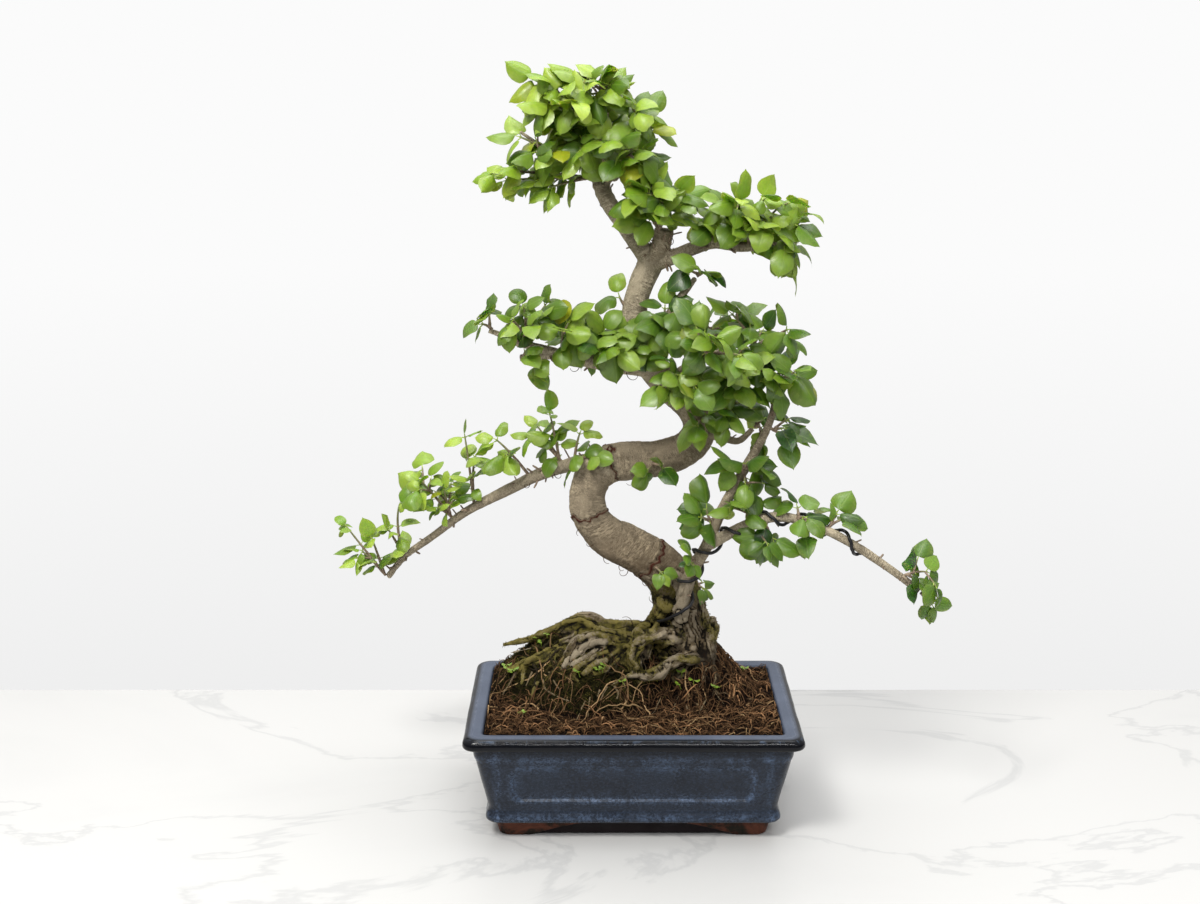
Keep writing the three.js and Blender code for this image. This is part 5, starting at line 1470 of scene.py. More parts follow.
def make_hairs(wood_points):
    """Curled hair roots that leave the bark at the places in the table."""
    rng = np.random.default_rng(5)
    pile = Pile()
    tree = point_tree(wood_points)
    places = HAIR_ROOT["places"]
    share = np.linspace(0, 1, places)
    for start, direction, length in HAIRS:
        start = wood_points[tree.find(start)[1]]
        way = unit(np.array(direction, float))
        side = unit(np.cross(way, (0, 1, 0.2)))
        angle = rng.uniform(*HAIR_ROOT["curl"]) * rng.choice((-1, 1)) * share**1.6
        step = length / places
        heading = np.cos(angle)[:, None] * way + np.sin(angle)[:, None] * side
        path = start + np.cumsum(heading * step, axis=0) - heading[0] * step * 1.5
        radii = np.linspace(*HAIR_ROOT["radii"], places)[None, :]
        points, faces = strands(path[None], radii, HAIR_ROOT["sides"], reference=(0.1, 1, 0))
        pile.add(points, faces, (0.3, 0.2, 0))
    pile.mesh("hair_roots", HAIR, slot="bark")


# Tufts of moss on the wood and on the soil
TUFTS = {
    "wood": 3400, "soil": 6800, "wood_length": (0.7, 1.9), "soil_length": (1.2, 3.6),
    "radius": (0.16, 0.34), "lean": 0.55, "droop": 0.25, "root": 0.4,
}


def make_moss(co, normals, paint):
    """Short tufts on the mossy roots and on the mound."""
    rng = np.random.default_rng(23)
    mossy = np.flatnonzero((paint[:, 0] > 0.45) & (co[:, 2] > RIM["top"]))
    chosen = rng.choice(mossy, min(TUFTS["wood"], len(mossy)), replace=False)
    roots, ways = co[chosen], normals[chosen]
    soil = on_soil(rng, TUFTS["soil"], moss_share)
    z = soil_top(soil[:, 0], soil[:, 1])
    ahead = soil_top(soil[:, 0] + 1, soil[:, 1]) - z
    aside = soil_top(soil[:, 0], soil[:, 1] + 1) - z
    slope = unit(np.column_stack([-ahead, -aside, np.ones(len(z))]))
    roots = np.vstack([roots, np.column_stack([soil, z])])
    ways = np.vstack([ways, slope])
    count = len(roots)
    on_wood = rng.uniform(*TUFTS["wood_length"], len(chosen))
    length = np.concatenate([on_wood, rng.uniform(*TUFTS["soil_length"], len(soil))])
    lean = unit(ways + rng.normal(0, TUFTS["lean"], (count, 3)))
    droop = np.array((0, 0, -1.0)) * length[:, None] * TUFTS["droop"]
    middle = roots + lean * length[:, None] * 0.5
    tip = roots + lean * length[:, None] + droop
    paths = np.stack([roots - ways * TUFTS["root"], middle, tip], axis=1)
    radii = np.outer(rng.uniform(*TUFTS["radius"], count), (1.0, 0.8, 0.15))
    clump = grains(roots[len(chosen) :], 0.16)
    on_bark = rng.random(len(chosen))
    olive = np.concatenate([on_bark, rng.random(len(soil)) ** 2 * np.clip(0.55 + 1.3 * clump, 0, 1)])
    green = np.concatenate([rng.uniform(0.4, 1, len(chosen)), np.clip(0.3 + 1.4 * clump, 0, 0.9)])
    shade = np.column_stack([olive, green, olive * 0])
    strand_piece("moss", paths, radii, 3, shade, MOSS, "coir_soil")


# Thin roots strewn over the mound, besides those in the table
SURFACE_ROOTS = {"count": 300, "places": 15, "length": (9, 32), "sides": 5}


def make_rootlets(wood):
    """Thin roots that run down over the mound from the root mass."""
    rng = np.random.default_rng(31)
    pile = Pile()
    corners = [v.co / MM for v in wood.data.vertices]
    surface = BVHTree.FromPolygons(corners, [tuple(face.vertices) for face in wood.data.polygons])
    for radius, spots in THIN_ROOTS:
        path = laid_root(spots, radius, radius * 0.6, surface)
        path[:, :3] += np.cumsum(rng.normal(0, 0.12, (len(path), 3)), axis=0)
        pile.add(*tube(path[:, :3], path[:, 3], 6), (0.15, 0, 0))
    count, places = SURFACE_ROOTS["count"], SURFACE_ROOTS["places"]
    base = CARRIED[rng.integers(0, len(CARRIED), count)]
    angle = rng.uniform(-math.pi, math.pi, count)
    front = rng.random(count) < 0.7
    angle = np.where(front, rng.normal(-math.pi / 2 - 0.25, 0.8, count), angle)
    lengths = rng.uniform(*SURFACE_ROOTS["length"], count)
    turn = np.cumsum(rng.normal(0, 0.42, (count, places)), axis=1)
    x, y = wander(base, angle[:, None] + turn, (lengths / places)[:, None], 1)
    lift = rng.random((count, 1)) * 1.6
    z = soil_top(x, y) + 0.3 + lift * (0.5 + 0.5 * np.sin(np.linspace(0, 9, places)))[None, :]
    thick = 0.3 + 1.1 * rng.random((count, 1)) ** 2.2
    radii = thick * np.linspace(1, 0.4, places)[None, :]
    sides = SURFACE_ROOTS["sides"]
    points, faces = strands(np.stack([x, y, z], axis=-1), radii, sides)
    mossy = moss_share(x, y, z) * rng.uniform(0.7, 1.6, (count, 1))
    shade = np.zeros((count * places * sides, 3))
    shade[:, 0] = np.clip(mossy, 0, 1).reshape(-1).repeat(sides)
    dark = np.where(rng.random(count) < 0.12, 0.1, rng.uniform(0.5, 0.95, count))
    shade[:, 2] = dark.repeat(places * sides)
    pile.add(points, faces, shade)
    pile.mesh("surface_roots", ROOT_BARK, slot="bark")


# A seedling's height, its stem's radius and the length of its leaves
SEEDLING = {"height": (3, 6), "stem": 0.28, "leaf": (3.0, 4.8)}


def make_seedlings():
    rng = np.random.default_rng(17)
    pile = Pile()
    for x, y in SEEDLINGS:
        z = float(soil_top(x, y))
        for _ in range(rng.integers(1, 3)):
            foot = np.array((x, y, z)) + rng.normal(0, 1.5, 3) * (1, 1, 0)
            lean = (rng.normal(0, 1.2), rng.normal(-1.2, 1.0), rng.uniform(*SEEDLING["height"]))
            head = foot + np.array(lean)
            path = np.linspace(foot, head, 4)
            points, faces = strands(path[None], np.full((1, 4), SEEDLING["stem"]), 4)
            pile.add(points, faces, (0.6, 0.9, 0))
            turn = rng.uniform(0, math.pi)
            for k in range(rng.integers(2, 4)):
                angle = turn + k * 2.3
                way = np.array((math.cos(angle), math.sin(angle), rng.uniform(0.0, 0.45)))
                size = rng.uniform(*SEEDLING["leaf"])
                add_round_leaf(pile, head, unit(way), size, (rng.uniform(0.5, 1), 0.4, 0))
    pile.mesh("seedlings", LEAF, slot="leaf", smooth_angle=60)


def add_round_leaf(pile, base, way, size, paint, sides=12):
    """A small round leaf: a rim, and a middle above and below it."""
    side = unit(np.cross(way, (0, 0, 1.0)))
    up = np.cross(side, way)
    angle = np.linspace(0, 2 * math.pi, sides, endpoint=False)
    middle = base + way * size * 0.62
    rim = middle + np.outer(np.cos(angle) * size * 0.5, way) + np.outer(np.sin(angle) * size * 0.46, side)
    rim += np.outer(np.cos(2 * angle) * 0.12 * size, up)
    points = np.vstack([rim, middle + up * 0.25, middle - up * 0.25])
    upper = [[i, (i + 1) % sides, sides] for i in range(sides)]
    lower = [[(i + 1) % sides, i, sides + 1] for i in range(sides)]
    round_the_rim = np.column_stack([np.sin(angle) * 0.5 + 0.5, np.cos(angle) * 0.5 + 0.5])
    uv = np.vstack([round_the_rim, [[0.5, 0.5]] * 2])
    pile.add(points, upper + lower, paint, uv)


# Bare spurs where leaves fell or twigs were cut: how many, and their least and most length
SPURS = {
    "lowerLeft": (26, 2, 9), "wired": (12, 2, 5), "sucker": (14, 2, 6), "midLeft": (8, 3, 8),
    "upperRight": (10, 2, 7), "midLeftTop": (6, 2, 6), "apex": (8, 2, 5), "stub": (9, 3, 9),
    "lowRight": (5, 2, 6),
}


def make_spurs():
    """Short bent spurs at random places round some limbs."""
    rng = np.random.default_rng(59)
    pile = Pile()
    for name, (count, least, most) in SPURS.items():
        path = LIMB_PATHS[name]
        along, normals, binormals = carried_frames(path[:, :3])
        for _ in range(count):
            at = rng.integers(2, len(path) - 1)
            angle = rng.uniform(0, 2 * math.pi)
            out = math.cos(angle) * normals[at] + math.sin(angle) * binormals[at]
            way = unit(out + along[at] * rng.uniform(0.1, 0.9) + np.array((0, 0, rng.uniform(-0.1, 0.5))))
            foot = path[at, :3] + out * path[at, 3] * 0.7
            length = rng.uniform(least, most) + path[at, 3] * 0.3
            bend = rng.normal(0, 0.16, 3)
            share = np.linspace(0, 1, 5)[:, None]
            line = foot + way * length * share + bend * length * share**2
            radii = np.linspace(1, 0.6, 5) * rng.uniform(0.6, 1.2) * (1 + 0.25 * (np.arange(5) == 3))
            pile.add(*strands(line[None], radii[None], 6), (0, 0, 0))
    pile.mesh("spurs", TWIG, slot="bark")


# The training wire

# Where the coil starts and ends along its limb, in millimetres, and how far one turn takes it
WIRE = {"radius": 1.25, "gap": 0.35, "pitch": 30.0, "turn_steps": 24, "from": 12.0, "to": 205.0}
WIRE_LEAD = [(20, 8, 143), (26, 1, 147), (32, -5, 152)]


def make_wire():
    """The training wire: its lead from the trunk and its turns round the limb."""
    host = np.array(LIMBS["sucker"][:4] + LIMBS["wired"][1:], float)
    path = spline(host, 1.0)
    run = distances(path[:, :3])
    along, normals, binormals = carried_frames(path[:, :3])
    count = round((WIRE["to"] - WIRE["from"]) / WIRE["pitch"] * WIRE["turn_steps"])
    distance = np.linspace(WIRE["from"], WIRE["to"], count + 1)
    at = np.clip(np.searchsorted(run, distance), 0, len(path) - 1)
    start = math.atan2(-binormals[at[0]][1], -normals[at[0]][1])
    angle = start + np.arange(count + 1) / WIRE["turn_steps"] * 2 * math.pi
    reach = path[at, 3] + WIRE["radius"] + 2.2 * WIRE["gap"]
    route = path[at, :3] + (np.cos(angle) * reach)[:, None] * normals[at]
    route += (np.sin(angle) * reach)[:, None] * binormals[at]
    rows = [(*p, WIRE["radius"]) for p in WIRE_LEAD] + [(*p, WIRE["radius"]) for p in route]
    smooth = spline(rows, 1.2)
    points, faces = tube(smooth[:, :3], smooth[:, 3], 12)
    pile = Pile()
    pile.add(points, faces)
    pile.mesh("wire_coil", WIRE_LOOK, ("training_wire",), "anodised_wire", smooth_angle=50)


# The foliage

STEM = {"base": 1.3, "tip": 0.62}
SHOOT = {
    "end_leaf": 14.0, "least": 0.45, "lift": 0.16, "rise": 0.05, "port": 2.4, "pitch": 17.0,
    "leafy": 0.85,
}
LEAF_SIZE = {"length": 25.0, "broad": 0.73, "room": 6.8, "pair_room": 3.0, "slim": 0.9}
# Leaves besides the solid's: the chance of a pair between two, and side twigs by the length of a shoot
MORE_LEAVES = {"least": 0.15, "chance": 0.75, "twig_every": 15.0, "where": (0.25, 0.95)}
SIDE_TWIG = {"reach": (20, 30), "radius": 0.8, "end_leaf": (0.7, 1.1), "side_leaf": (0.55, 1.1)}
# Youth grows from a spray's hub outwards, and a few leaves are partly yellow
AGE = {"usual": 0.35, "inner": 0.25, "outer": 0.6, "reach": 50.0, "spread": 0.2}
YELLOW = {"chance": 0.035, "share": (0.3, 0.8)}
# How leaves differ: their outline, breadth, droop, fold, cupped blade, waved edge and twist
BLADE = {
    "outline": (0.8, 1.3), "breadth": (0.88, 1.12), "droop": (2.5, 8.5), "fold": (-0.3, 1.3),
    "cup": (0.2, 1.0), "wave": (0.02, 0.16), "waves": (9, 14), "twist": 0.35, "thickness": 0.42,
}
# Share along the leaf and of its half width there, from the stalk to the drawn-out tip
OUTLINE = [
    (0.10, 0.09), (0.12, 0.47), (0.17, 0.76), (0.26, 0.95), (0.38, 1.0), (0.52, 0.97), (0.66, 0.83),
    (0.78, 0.62), (0.87, 0.36), (0.93, 0.14), (0.98, 0.03),
]
# More or fewer extra twigs than usual on some limbs
DENSITY = {
    "lowerLeft": 0.12, "wired": 0.5, "sucker": 0.8, "lowRight": 0.6, "apexLeft": 0.9, "apex": 1.0,
    "apexRight": 1.0, "upperRight": 1.0, "midLeft": 0.95, "midLeftTop": 0.8, "midUp": 1.0, "midRight": 1.05,
    "midFront": 0.9, "midBack": 1.0, "stub": 0.9, "trunk": 0.5,
}
# Sprays by number with their own share of extra twigs and their own leaf size
SPARSE = {
    3: (0.9, 0.78), 4: (0.5, 0.8), 28: (0.1, 0.9), 33: (0.0, 0.7), 34: (0.0, 0.62), 35: (0.0, 0.62),
    40: (0.5, 0.9), 41: (0.5, 0.9), 47: (0.5, 0.95),
}
# Further shoots of some sprays, where the photo shows more leaves
MORE_SHOOTS = {
    1: [(-222, 56, 196)], 6: [(-56, 16, 294)], 46: [(16, -32, 491), (36, -28, 485), (2, -36, 484)],
    47: [(-116, -4, 486)], 50: [(-70, -22, 540), (-82, -4, 562)], 51: [(-52, -14, 564), (-22, -20, 564)],
    44: [(56, -34, 474)],
}
# Places in the photo where bare wood shows, which further leaves leave free: left, top, right, bottom
BARE = [
    (598, 205, 650, 262), (655, 222, 682, 262), (625, 255, 668, 300), (672, 238, 775, 285),
    (570, 468, 612, 560), (605, 515, 665, 600), (645, 590, 715, 660), (612, 436, 640, 480),
    (385, 540, 470, 580), (822, 528, 905, 600), (455, 196, 598, 245), (560, 160, 600, 200),
]
# How slim the leaves are on some limbs
SLIM = {
    "apex": 0.84, "apexLeft": 0.84, "apexRight": 0.84, "upperRight": 0.88, "stub": 0.84,
    "lowerLeft": 0.85,
}
# How large the leaves are on some limbs
LEAF_SCALE = {
    "lowerLeft": 0.86, "wired": 1.04, "midLeftTop": 0.85, "apex": 1.14, "apexLeft": 1.1, "apexRight": 1.14,
    "upperRight": 1.08, "stub": 1.14, "sucker": 1.22,
}
# How young and light the leaves are on some limbs
YOUTH = {
    "lowerLeft": 0.6, "wired": 0.12, "sucker": 0.08, "midBack": 0.15, "trunk": 0.3, "apex": 0.6,
    "apexLeft": 0.5, "apexRight": 0.45, "upperRight": 0.55, "midRight": 0.18, "midFront": 0.18,
    "midUp": 0.2,
}


def seeded(seed):
    state = ((seed + 1) * 2654435761) & 0xFFFFFFFF

    def draw():
        nonlocal state
        state = (1664525 * state + 1013904223) & 0xFFFFFFFF
        return state / 2**32

    return draw


class Shoot:
    """A leafy twig along a bent path, with the same draws as the solid that it stands for."""

    def __init__(self, start, out, tip, seed, base=STEM["base"]):
        whole = np.linalg.norm(tip - start)
        end = start + (tip - start) * max(SHOOT["least"], 1 - SHOOT["end_leaf"] / whole)
        length = np.linalg.norm(end - start)
        bend = (start + end) / 2 + out * SHOOT["lift"] * length + np.array((0, 0, SHOOT["rise"] * length))
        s = np.linspace(0, 1, 25)[:, None]
        self.path = (1 - s) ** 2 * start + 2 * s * (1 - s) * bend + s**2 * end
        self.run = distances(self.path)
        self.length = self.run[-1]
        self.along = tangents(self.path)
        side = np.cross(self.along[0], self.along[-1])
        if np.linalg.norm(side) < 0.02:
            side = np.cross(self.along[0], (0.3, -0.8, 0.5))
        self.side = unit(side)
        self.random = seeded(seed)
        self.roll = self.random() * math.pi
        self.base = base

    def at(self, distance):
        share = min(max(distance / self.length, 0), 1)
        place = np.array([np.interp(share * self.length, self.run, self.path[:, k]) for k in range(3)])
        along = unit(np.array([np.interp(share * self.length, self.run, self.along[:, k]) for k in range(3)]))
        u = unit(np.cross(self.side, along))
        v = np.cross(along, u)
        radius = self.base + (STEM["tip"] - self.base) * share
        return place, along, u, v, radius

    def face(self, u, v, side):
        angle = self.roll + side * math.pi / 2
        return u * math.cos(angle) + v * math.sin(angle)


def turned(v, axis, angle):
    c, s = math.cos(angle), math.sin(angle)
    return v * c + np.cross(axis, v) * s + axis * np.dot(axis, v) * (1 - c)


def solid_leaf(shoot, distance, side, size):
    """The leaf that the solid has there, by the same rule and draws."""
    random = shoot.random
    place, along, u, v, radius = shoot.at(distance)
    axis, root = along.copy(), place.copy()
    if side is not None:
        face = shoot.face(u, v, side)
        spread = math.radians(48 + 16 * random())
        axis = axis * math.cos(spread) + face * math.sin(spread)
        root = root + face * radius * 0.7
    axis[2] -= 0.05 + 0.25 * random()
    axis = unit(axis)
    normal = unit(np.array((root[0], root[1], 0.0))) * 0.4
    normal = normal + np.array((0.6 * (random() - 0.5), 0.6 * (random() - 0.5) - 0.35, 0.75))
    normal = unit(normal - axis * np.dot(normal, axis))
    normal = turned(normal, axis, math.radians(40 * (random() - 0.5)))
    length = LEAF_SIZE["length"] * size * (0.85 + 0.3 * random())
    broad = LEAF_SIZE["broad"] * (0.92 + 0.16 * random())
    fold = math.radians(13 + 14 * random())
    curl = 0.08 + 0.16 * random()
    shape = {"length": length, "broad": broad, "fold": fold, "curl": curl}
    return {"root": root, "axis": axis, "normal": normal, **shape}


def hub_of(limb, start, tips):
    """Where a spray leaves its limb, just under the bark."""
    away = np.linalg.norm(limb[:, :3] - start, axis=1)
    near = int(np.argmin(away))
    towards = unit(sum(unit(tip - start) for tip in tips))
    along = tangents(limb[:, :3])[near]
    at_end = near > 0.98 * (len(limb) - 1) and np.dot(towards, along) > 0.2
    out = along if at_end else unit(towards - along * np.dot(towards, along))
    return limb[near, :3] + out * limb[near, 3] * 0.8, out


class Foliage:
    """All the leaves placed so far, so that a new one keeps clear of them and of the wood."""

    def __init__(self):
        self.cells = {}
        wood = np.vstack(list(LIMB_PATHS.values()))
        self.wood, self.radii = point_tree(wood[:, :3]), wood[:, 3]
        low, high = cad_box
        self.low, self.high = np.array(low) / MM + 1.2, np.array(high) / MM - 1.2

    def bares(self, place):
        """Whether a leaf there would cover wood that is bare in the photo."""
        away = place - np.array(CAMERA["place"])
        depth = away[1] * math.cos(PITCH) - away[2] * math.sin(PITCH)
        rise = away[1] * math.sin(PITCH) + away[2] * math.cos(PITCH)
        u = PHOTO["width"] / 2 + FOCAL * away[0] / depth
        v = PHOTO["height"] / 2 - FOCAL * rise / depth
        return any(left < u < right and top < v < bottom for left, top, right, bottom in BARE)

    def inside(self, leaf):
        tip = leaf["root"] + leaf["axis"] * leaf["length"]
        tip = tip - leaf["normal"] * leaf["length"] * leaf["curl"]
        side = np.cross(leaf["normal"], leaf["axis"]) * leaf["length"] * leaf["broad"] / 2
        middle = leaf["root"] + leaf["axis"] * leaf["length"] * 0.4
        corners = np.array([tip, middle + side, middle - side])
        return bool((corners > self.low).all() and (corners < self.high).all())

    def place(self, leaf, room):
        middle = leaf["root"] + leaf["axis"] * leaf["length"] * 0.55
        if room >= LEAF_SIZE["room"] and self.bares(middle):
            return False
        cell = tuple(int(math.floor(c / 10)) for c in middle)
        near = [
            other
            for i in (-1, 0, 1) for j in (-1, 0, 1) for k in (-1, 0, 1)
            for other in self.cells.get((cell[0] + i, cell[1] + j, cell[2] + k), ())
        ]
        if any(np.linalg.norm(middle - other) < room for other in near):
            return False
        _, index, distance = self.wood.find(middle)
        if distance < self.radii[index] + 2.5 or not self.inside(leaf):
            return False
        self.cells.setdefault(cell, []).append(middle)
        return True


LIMB_PATHS = {name: spline(points, 2.0) for name, points in {"trunk": TRUNK, **LIMBS}.items()}


def lit(leaf, rng):
    """Turns the leaf's face a little more to the light, up and outwards."""
    axis = leaf["axis"]
    light = unit(np.array((leaf["root"][0] * 0.004, -0.45, 1.0)))
    normal = leaf["normal"] + 0.4 * light + rng.normal(0, 0.32, 3)
    leaf["normal"] = unit(normal - axis * np.dot(normal, axis))
    return leaf


def leaves_of(shoot, foliage, rng, extra, scale, slim):
    """The solid's own leaves, pairs between them and short side twigs with three leaves each."""
    kept, twigs = [], []

    def keep(leaf, room):
        leaf["length"] *= scale
        if not foliage.inside(leaf):
            leaf["length"] /= max(scale, 1.0)
        leaf["slim"] = slim
        if room >= LEAF_SIZE["room"]:
            leaf["axis"] = unit(leaf["axis"] - np.array((0, 0, rng.uniform(0.1, 0.7))))
        if foliage.place(leaf, room):
            kept.append(lit(leaf, rng))

    keep(solid_leaf(shoot, shoot.length, None, 0.85), 0.0)
    pair = 0
    while True:
        back = SHOOT["port"] / 2 + pair * SHOOT["pitch"]
        distance = shoot.length - back
        if back > SHOOT["leafy"] * shoot.length or distance < SHOOT["port"] * 2:
            break
        size = 1.0 if pair else 0.85
        for side in (pair % 2, pair % 2 + 2):
            keep(solid_leaf(shoot, distance, side, size), LEAF_SIZE["pair_room"])
        pair += 1
    back = SHOOT["port"] / 2 + SHOOT["pitch"] / 2
    while back < SHOOT["leafy"] * shoot.length:
        for side in (1, 3) if round(back / SHOOT["pitch"]) % 2 else (0, 2):
            if rng.random() < MORE_LEAVES["least"] + MORE_LEAVES["chance"] * extra:
                about = side + rng.normal(0, 0.15)
                more = solid_leaf(shoot, shoot.length - back, about, rng.uniform(0.6, 1.08))
                keep(more, LEAF_SIZE["room"])
        back += SHOOT["pitch"]
    for _ in range(int(rng.poisson(shoot.length / MORE_LEAVES["twig_every"] * extra))):
        distance = rng.uniform(*MORE_LEAVES["where"]) * shoot.length
        place, along, u, v, _ = shoot.at(distance)
        face = shoot.face(u, v, rng.uniform(0, 4))
        way = unit(along * 0.6 + face + np.array((0, -0.15, 0.25)))
        tip = place + way * rng.uniform(*SIDE_TWIG["reach"])
        twig = Shoot(place, way, tip, int(rng.integers(1, 10**6)), SIDE_TWIG["radius"])
        leaf = solid_leaf(twig, twig.length, None, rng.uniform(*SIDE_TWIG["end_leaf"]))
        leaf["slim"] = slim
        if not foliage.place(leaf, LEAF_SIZE["room"]):
            continue
        kept.append(lit(leaf, rng))
        twigs.append(twig)
        for side in (0, 2):
            distance = twig.length - rng.uniform(1, 4)
            more = solid_leaf(twig, distance, side, rng.uniform(*SIDE_TWIG["side_leaf"]))
            keep(more, LEAF_SIZE["room"])
    return kept, twigs


def blade_template():
    """Grid of share along, signed share across and whether the point is on the lower face."""
    rows = [s for s, _ in OUTLINE]
    across = (-1.0, -0.5, 0.0, 0.5, 1.0)
    points, faces = [], []
    for s, (_, width) in zip(rows, OUTLINE):
        points += [(s, t, width, 0.0) for t in across]
        points += [(s, t, width, 1.0) for t in across[1:-1]]
    size = 8

    def upper(i, j):
        return i * size + j

    def lower(i, j):
        return i * size + (j if j in (0, 4) else 4 + j)

    for i in range(len(rows) - 1):
        for j in range(4):
            faces.append([upper(i, j), upper(i + 1, j), upper(i + 1, j + 1), upper(i, j + 1)])
            faces.append([lower(i, j + 1), lower(i + 1, j + 1), lower(i + 1, j), lower(i, j)])
    tip = len(points)
    points.append((1.0, 0.0, 0.0, 0.5))
    last = len(rows) - 1
    for j in range(4):
        faces.append([upper(last, j), tip, upper(last, j + 1)])
        faces.append([lower(last, j + 1), tip, lower(last, j)])
    faces.append([upper(0, j) for j in range(5)] + [lower(0, j) for j in (3, 2, 1)])
    return np.array(points), faces


TEMPLATE, TEMPLATE_FACES = blade_template()


def drooping(share, turn, length):
    """How far forward and down a leaf reaches at each share of its length. Its tip turns down by turn."""
    steps = np.linspace(0, 1, 41)
    angle = turn * steps**1.3
    forward = np.cumsum(np.cos(angle)) * length / len(steps)
    down = np.cumsum(np.sin(angle)) * length / len(steps)
    return np.interp(share, steps, forward), -np.interp(share, steps, down)


def add_leaf(pile, leaf, rng, youth, yellow):
    s, t, width, under = TEMPLATE.T
    width = width ** rng.uniform(*BLADE["outline"])
    length = leaf["length"]
    half = length * leaf["broad"] / 2 * rng.uniform(*BLADE["breadth"]) * leaf["slim"]
    axis, normal = leaf["axis"], leaf["normal"]
    side = np.cross(normal, axis)
    forward, drop = drooping(s, leaf["curl"] * rng.uniform(*BLADE["droop"]), length)
    fold = math.tan(leaf["fold"]) * rng.uniform(*BLADE["fold"])
    cup = rng.uniform(*BLADE["cup"])
    height = rng.uniform(*BLADE["wave"])
    wave = height * np.sin(s * rng.uniform(*BLADE["waves"]) + rng.uniform(0, 6) + 1.5 * np.sign(t))
    rise = half * width * (fold * np.abs(t) - cup * t**2 + wave * t**2)
    rise = rise - BLADE["thickness"] * (under == 1) * (1 - t**2) * np.clip(width * 1.4, 0.35, 1)
    twist = rng.normal(0, BLADE["twist"]) * s
    across = half * width * t
    points = leaf["root"] + np.outer(forward, axis)
    points += np.outer(across * np.cos(twist) - rise * np.sin(twist), side)
    points += np.outer(drop + rise * np.cos(twist) + across * np.sin(twist), normal)
    dark = float(np.clip(rng.normal(0.5, 0.32), 0, 1))
    shade = np.column_stack([np.tile((dark, youth, yellow), (len(s), 1)), 1 - under])
    uv = np.column_stack([t, s])
    pile.add(points, TEMPLATE_FACES, shade, uv)
    neck = leaf["root"] + axis * length * 0.11
    stalk = np.linspace(leaf["root"] - axis * 0.3, neck, 3)
    stalk += np.outer((0, -0.1, 0), normal)
    ring, faces = strands(stalk[None], np.array([[0.5, 0.42, 0.4]]), 4, reference=tuple(normal))
    pile.add(ring, faces, (0.8, 1.0, 0.1), np.full((len(ring), 2), 0.02))


def make_foliage():
    foliage = Foliage()
    for index, (host, start, *tips) in enumerate(SPRAYS):
        rng = np.random.default_rng(1000 + index)
        tips = [np.array(tip, float) for tip in tips]
        hub, out = hub_of(LIMB_PATHS[host], np.array(start, float), tips)
        tips += [np.array(tip, float) for tip in MORE_SHOOTS.get(index + 1, ())]
        main = Shoot(hub, out, tips[0], index * 10)
        shoots = [main]
        for i, tip in enumerate(tips[1:]):
            place = main.at(SHOOT["port"] * (0.5 + i // 2) + 1)[0]
            shoots.append(Shoot(place, unit(tip - place), tip, index * 10 + i + 1))
        leaves, twigs = [], []
        for shoot in shoots:
            extra, scale = SPARSE.get(index + 1, (DENSITY[host], LEAF_SCALE.get(host, 1.0)))
            kept, more = leaves_of(shoot, foliage, rng, extra, scale, SLIM.get(host, LEAF_SIZE["slim"]))
            leaves += kept
            twigs += more
        wood, green = Pile(), Pile()
        for shoot in shoots + twigs:
            share = np.linspace(0, 1, len(shoot.path))
            knots = 1 + 0.14 * (np.sin(share * shoot.length * 0.75) > 0.93)
            radii = (shoot.base + (STEM["tip"] - shoot.base) * share) * knots
            points, faces = strands(shoot.path[None], radii[None], 6, reference=tuple(shoot.side))
            tint = np.repeat(np.clip(share * 1.3 - 0.55, 0, 0.8), 6)
            wood.add(points, faces, np.column_stack([tint, tint * 0, tint * 0]))
        base_youth = YOUTH.get(host, AGE["usual"])
        for leaf in leaves:
            out_there = np.clip(np.linalg.norm(leaf["root"] - hub) / AGE["reach"], 0, 1)
            youth = base_youth - AGE["inner"] + AGE["outer"] * out_there + rng.normal(0, AGE["spread"])
            youth = float(np.clip(youth, 0, 1))
            yellow = float(rng.random() < YELLOW["chance"]) * rng.uniform(*YELLOW["share"])
            add_leaf(green, leaf, rng, youth, yellow)
        node = f"spray_{host}_{index + 1}"
        green.mesh(f"leaves_{host}_{index + 1}", LEAF, (node,), "leaf", smooth_angle=75)
        wood.mesh(f"twigs_{host}_{index + 1}", TWIG, (node,), "bark")


# Stage, light and camera

FLOOR = {"half_x": 2600.0, "front": -2600.0, "back": 245.0}
# Strengths of the room's light: as the camera sees the wall at its foot and above, and on the things in it
WORLD = {"seen": (0.85, 0.965), "low": 0.10, "behind": 0.30, "above": 0.78}
# Each lamp's place and target in metres, its size, power and colour
LAMPS = {
    "key": ((-0.7, -1.1, 1.9), (0, 0, 0.25), (0.6, 0.6), 36, (1.0, 0.985, 0.95)),
    "bar": ((0.35, -1.5, 1.25), (0, 0, 0.1), (1.3, 0.04), 10, (1, 1, 1)),
    "top": ((0.1, 0.3, 2.2), (0, 0, 0.3), (1.6, 1.6), 28, (1, 1, 1)),
}


def floor_material():
    box = Paintbox("floor")
    cloud = box.noise(box.position((1, 1.7, 1)), 2.4, 7.0, 0.55, 0.9)
    vein = box.ramp(box.off(cloud, 0.5), 0.0, 0.014, 0.5, 0.0)
    colour = box.mix(vein, STONE_COLOUR["base"], STONE_COLOUR["vein"])
    colour = box.mix(box.ramp(cloud, 0.52, 0.8, 0.0, 0.4), colour, STONE_COLOUR["cloud"])
    box.set(Base_Color=colour, Roughness=0.35)
    return box.material


def make_stage():
    half, front, back = FLOOR["half_x"] * MM, FLOOR["front"] * MM, FLOOR["back"] * MM
    mesh = bpy.data.meshes.new("floor")
    corners = [(-half, front, 0), (half, front, 0), (half, back, 0), (-half, back, 0)]
    mesh.from_pydata(corners, [], [[0, 1, 2, 3]])
    mesh.materials.append(floor_material())
    floor = add_object("floor", mesh)


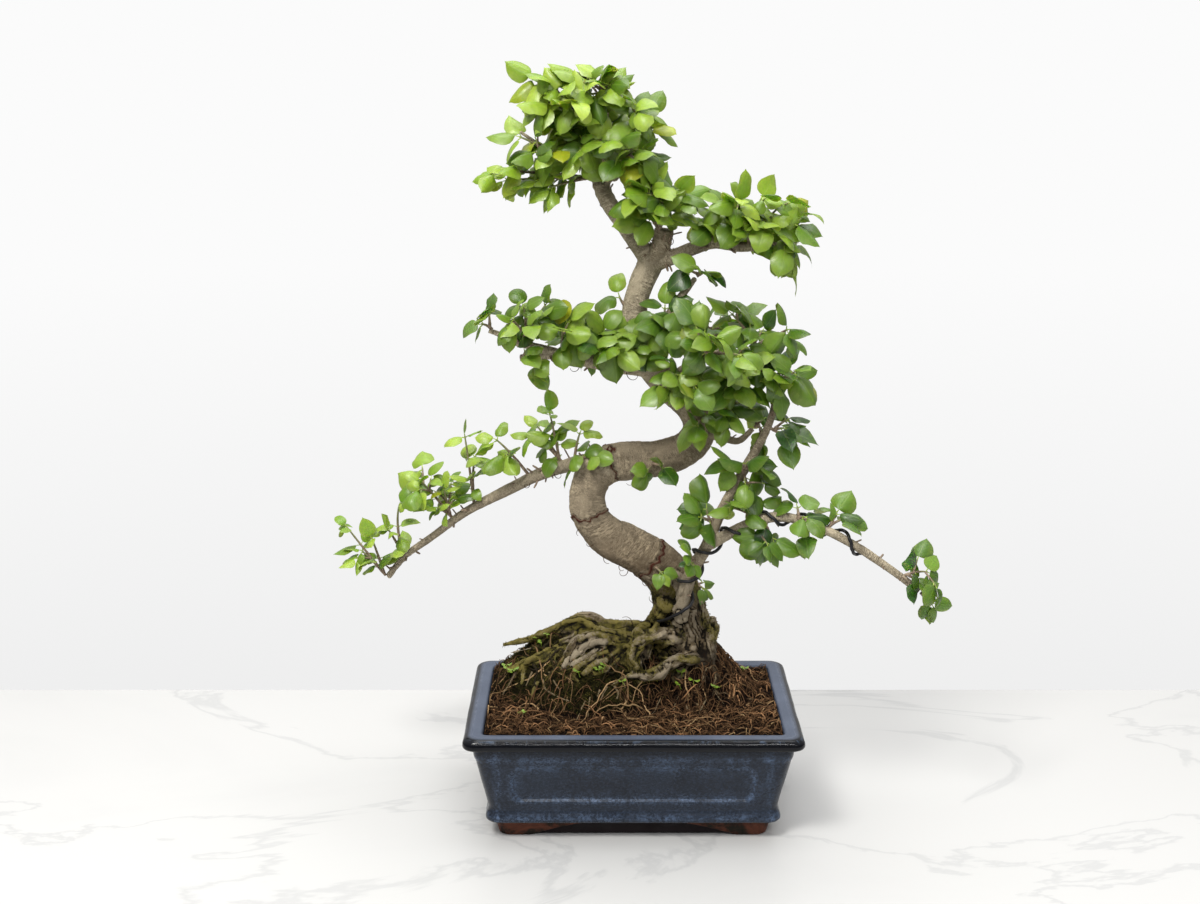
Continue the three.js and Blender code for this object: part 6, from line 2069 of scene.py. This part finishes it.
def make_world():
    """A white room: bright above and behind, dimmer on the viewer's side."""
    world = bpy.data.worlds.new("studio")
    bpy.context.scene.world = world
    bpy.context.scene.view_settings.view_transform = "Standard"
    world.use_nodes = True
    room = Nodes(world.node_tree)
    way = room.split(room.node("TexCoord").outputs["Generated"])
    strength = WORLD["low"]
    for axis, low, high, gain in (("Y", -0.3, 0.9, WORLD["behind"]), ("Z", 0.0, 1.0, WORLD["above"])):
        strength = room.plus(room.ramp(way[axis], low, high, 0.0, gain, "LINEAR"), strength)
    light = world.node_tree.nodes["Background"]
    room.put(light.inputs["Strength"], strength)
    room.put(light.inputs["Color"], (1.0, 0.99, 0.975))
    wall = room.ramp(way["Z"], -0.36, -0.12, *WORLD["seen"], "LINEAR")
    seen = room.node("Background", Color=(1.0, 1.0, 1.0), Strength=wall)
    choose = room.node("MixShader")
    by_camera = room.node("LightPath").outputs["Is Camera Ray"]
    for socket, value in zip(choose.inputs, (by_camera, light.outputs[0], seen.outputs[0])):
        room.put(socket, value)
    room.put(world.node_tree.nodes["World Output"].inputs["Surface"], choose.outputs[0])


def make_lamps():
    for name, (place, target, size, power, colour) in LAMPS.items():
        light = bpy.data.lights.new(name, "AREA")
        light.shape = "RECTANGLE"
        light.size, light.size_y = size
        light.energy = power
        light.color = colour
        obj = add_object(name, light)
        obj.location = place
        aim = Vector(target) - Vector(place)
        obj.rotation_euler = aim.to_track_quat("-Z", "Y").to_euler()


def make_camera():
    camera = bpy.data.cameras.new("camera")
    camera.lens = CAMERA["lens"]
    camera.sensor_width = CAMERA["sensor"]
    camera.clip_end = 20
    obj = add_object("camera", camera)
    obj.location = Vector(CAMERA["place"]) * MM
    obj.rotation_euler = (math.radians(90 - CAMERA["pitch"]), 0, 0)
    bpy.context.scene.camera = obj


def dress_drain_meshes():
    """The meshes over the drain holes stay as they are packed, in black plastic."""
    for node in ("drain_mesh_left", "drain_mesh_right"):
        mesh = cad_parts[node].data
        mesh.materials.clear()
        mesh.materials.append(PLASTIC)


make_camera()
make_stage()
make_world()
make_lamps()

LEAF = leaf_material()
BARK = bark_material()
ROOT_BARK = bark_material(grained=False)
TWIG = twig_material()
GLAZE = glaze_material()
TERRACOTTA = terracotta_material()
SOIL_LOOK = soil_material()
COIR = fibre_material("coir")
MOSS = fibre_material("moss")
HAIR = fibre_material("hair")
WIRE_LOOK = wire_material()
PLASTIC = plastic_material()

make_pot()
make_foot()
make_soil()
soil_draws = np.random.default_rng(11)
make_fibres(soil_draws)
make_tan_rootlets(soil_draws)
wood, wood_points, wood_normals, wood_paint = make_wood()
make_moss(wood_points, wood_normals, wood_paint)
make_rootlets(wood)
make_hairs(wood_points)
make_seedlings()
make_spurs()
make_wire()
make_foliage()
dress_drain_meshes()
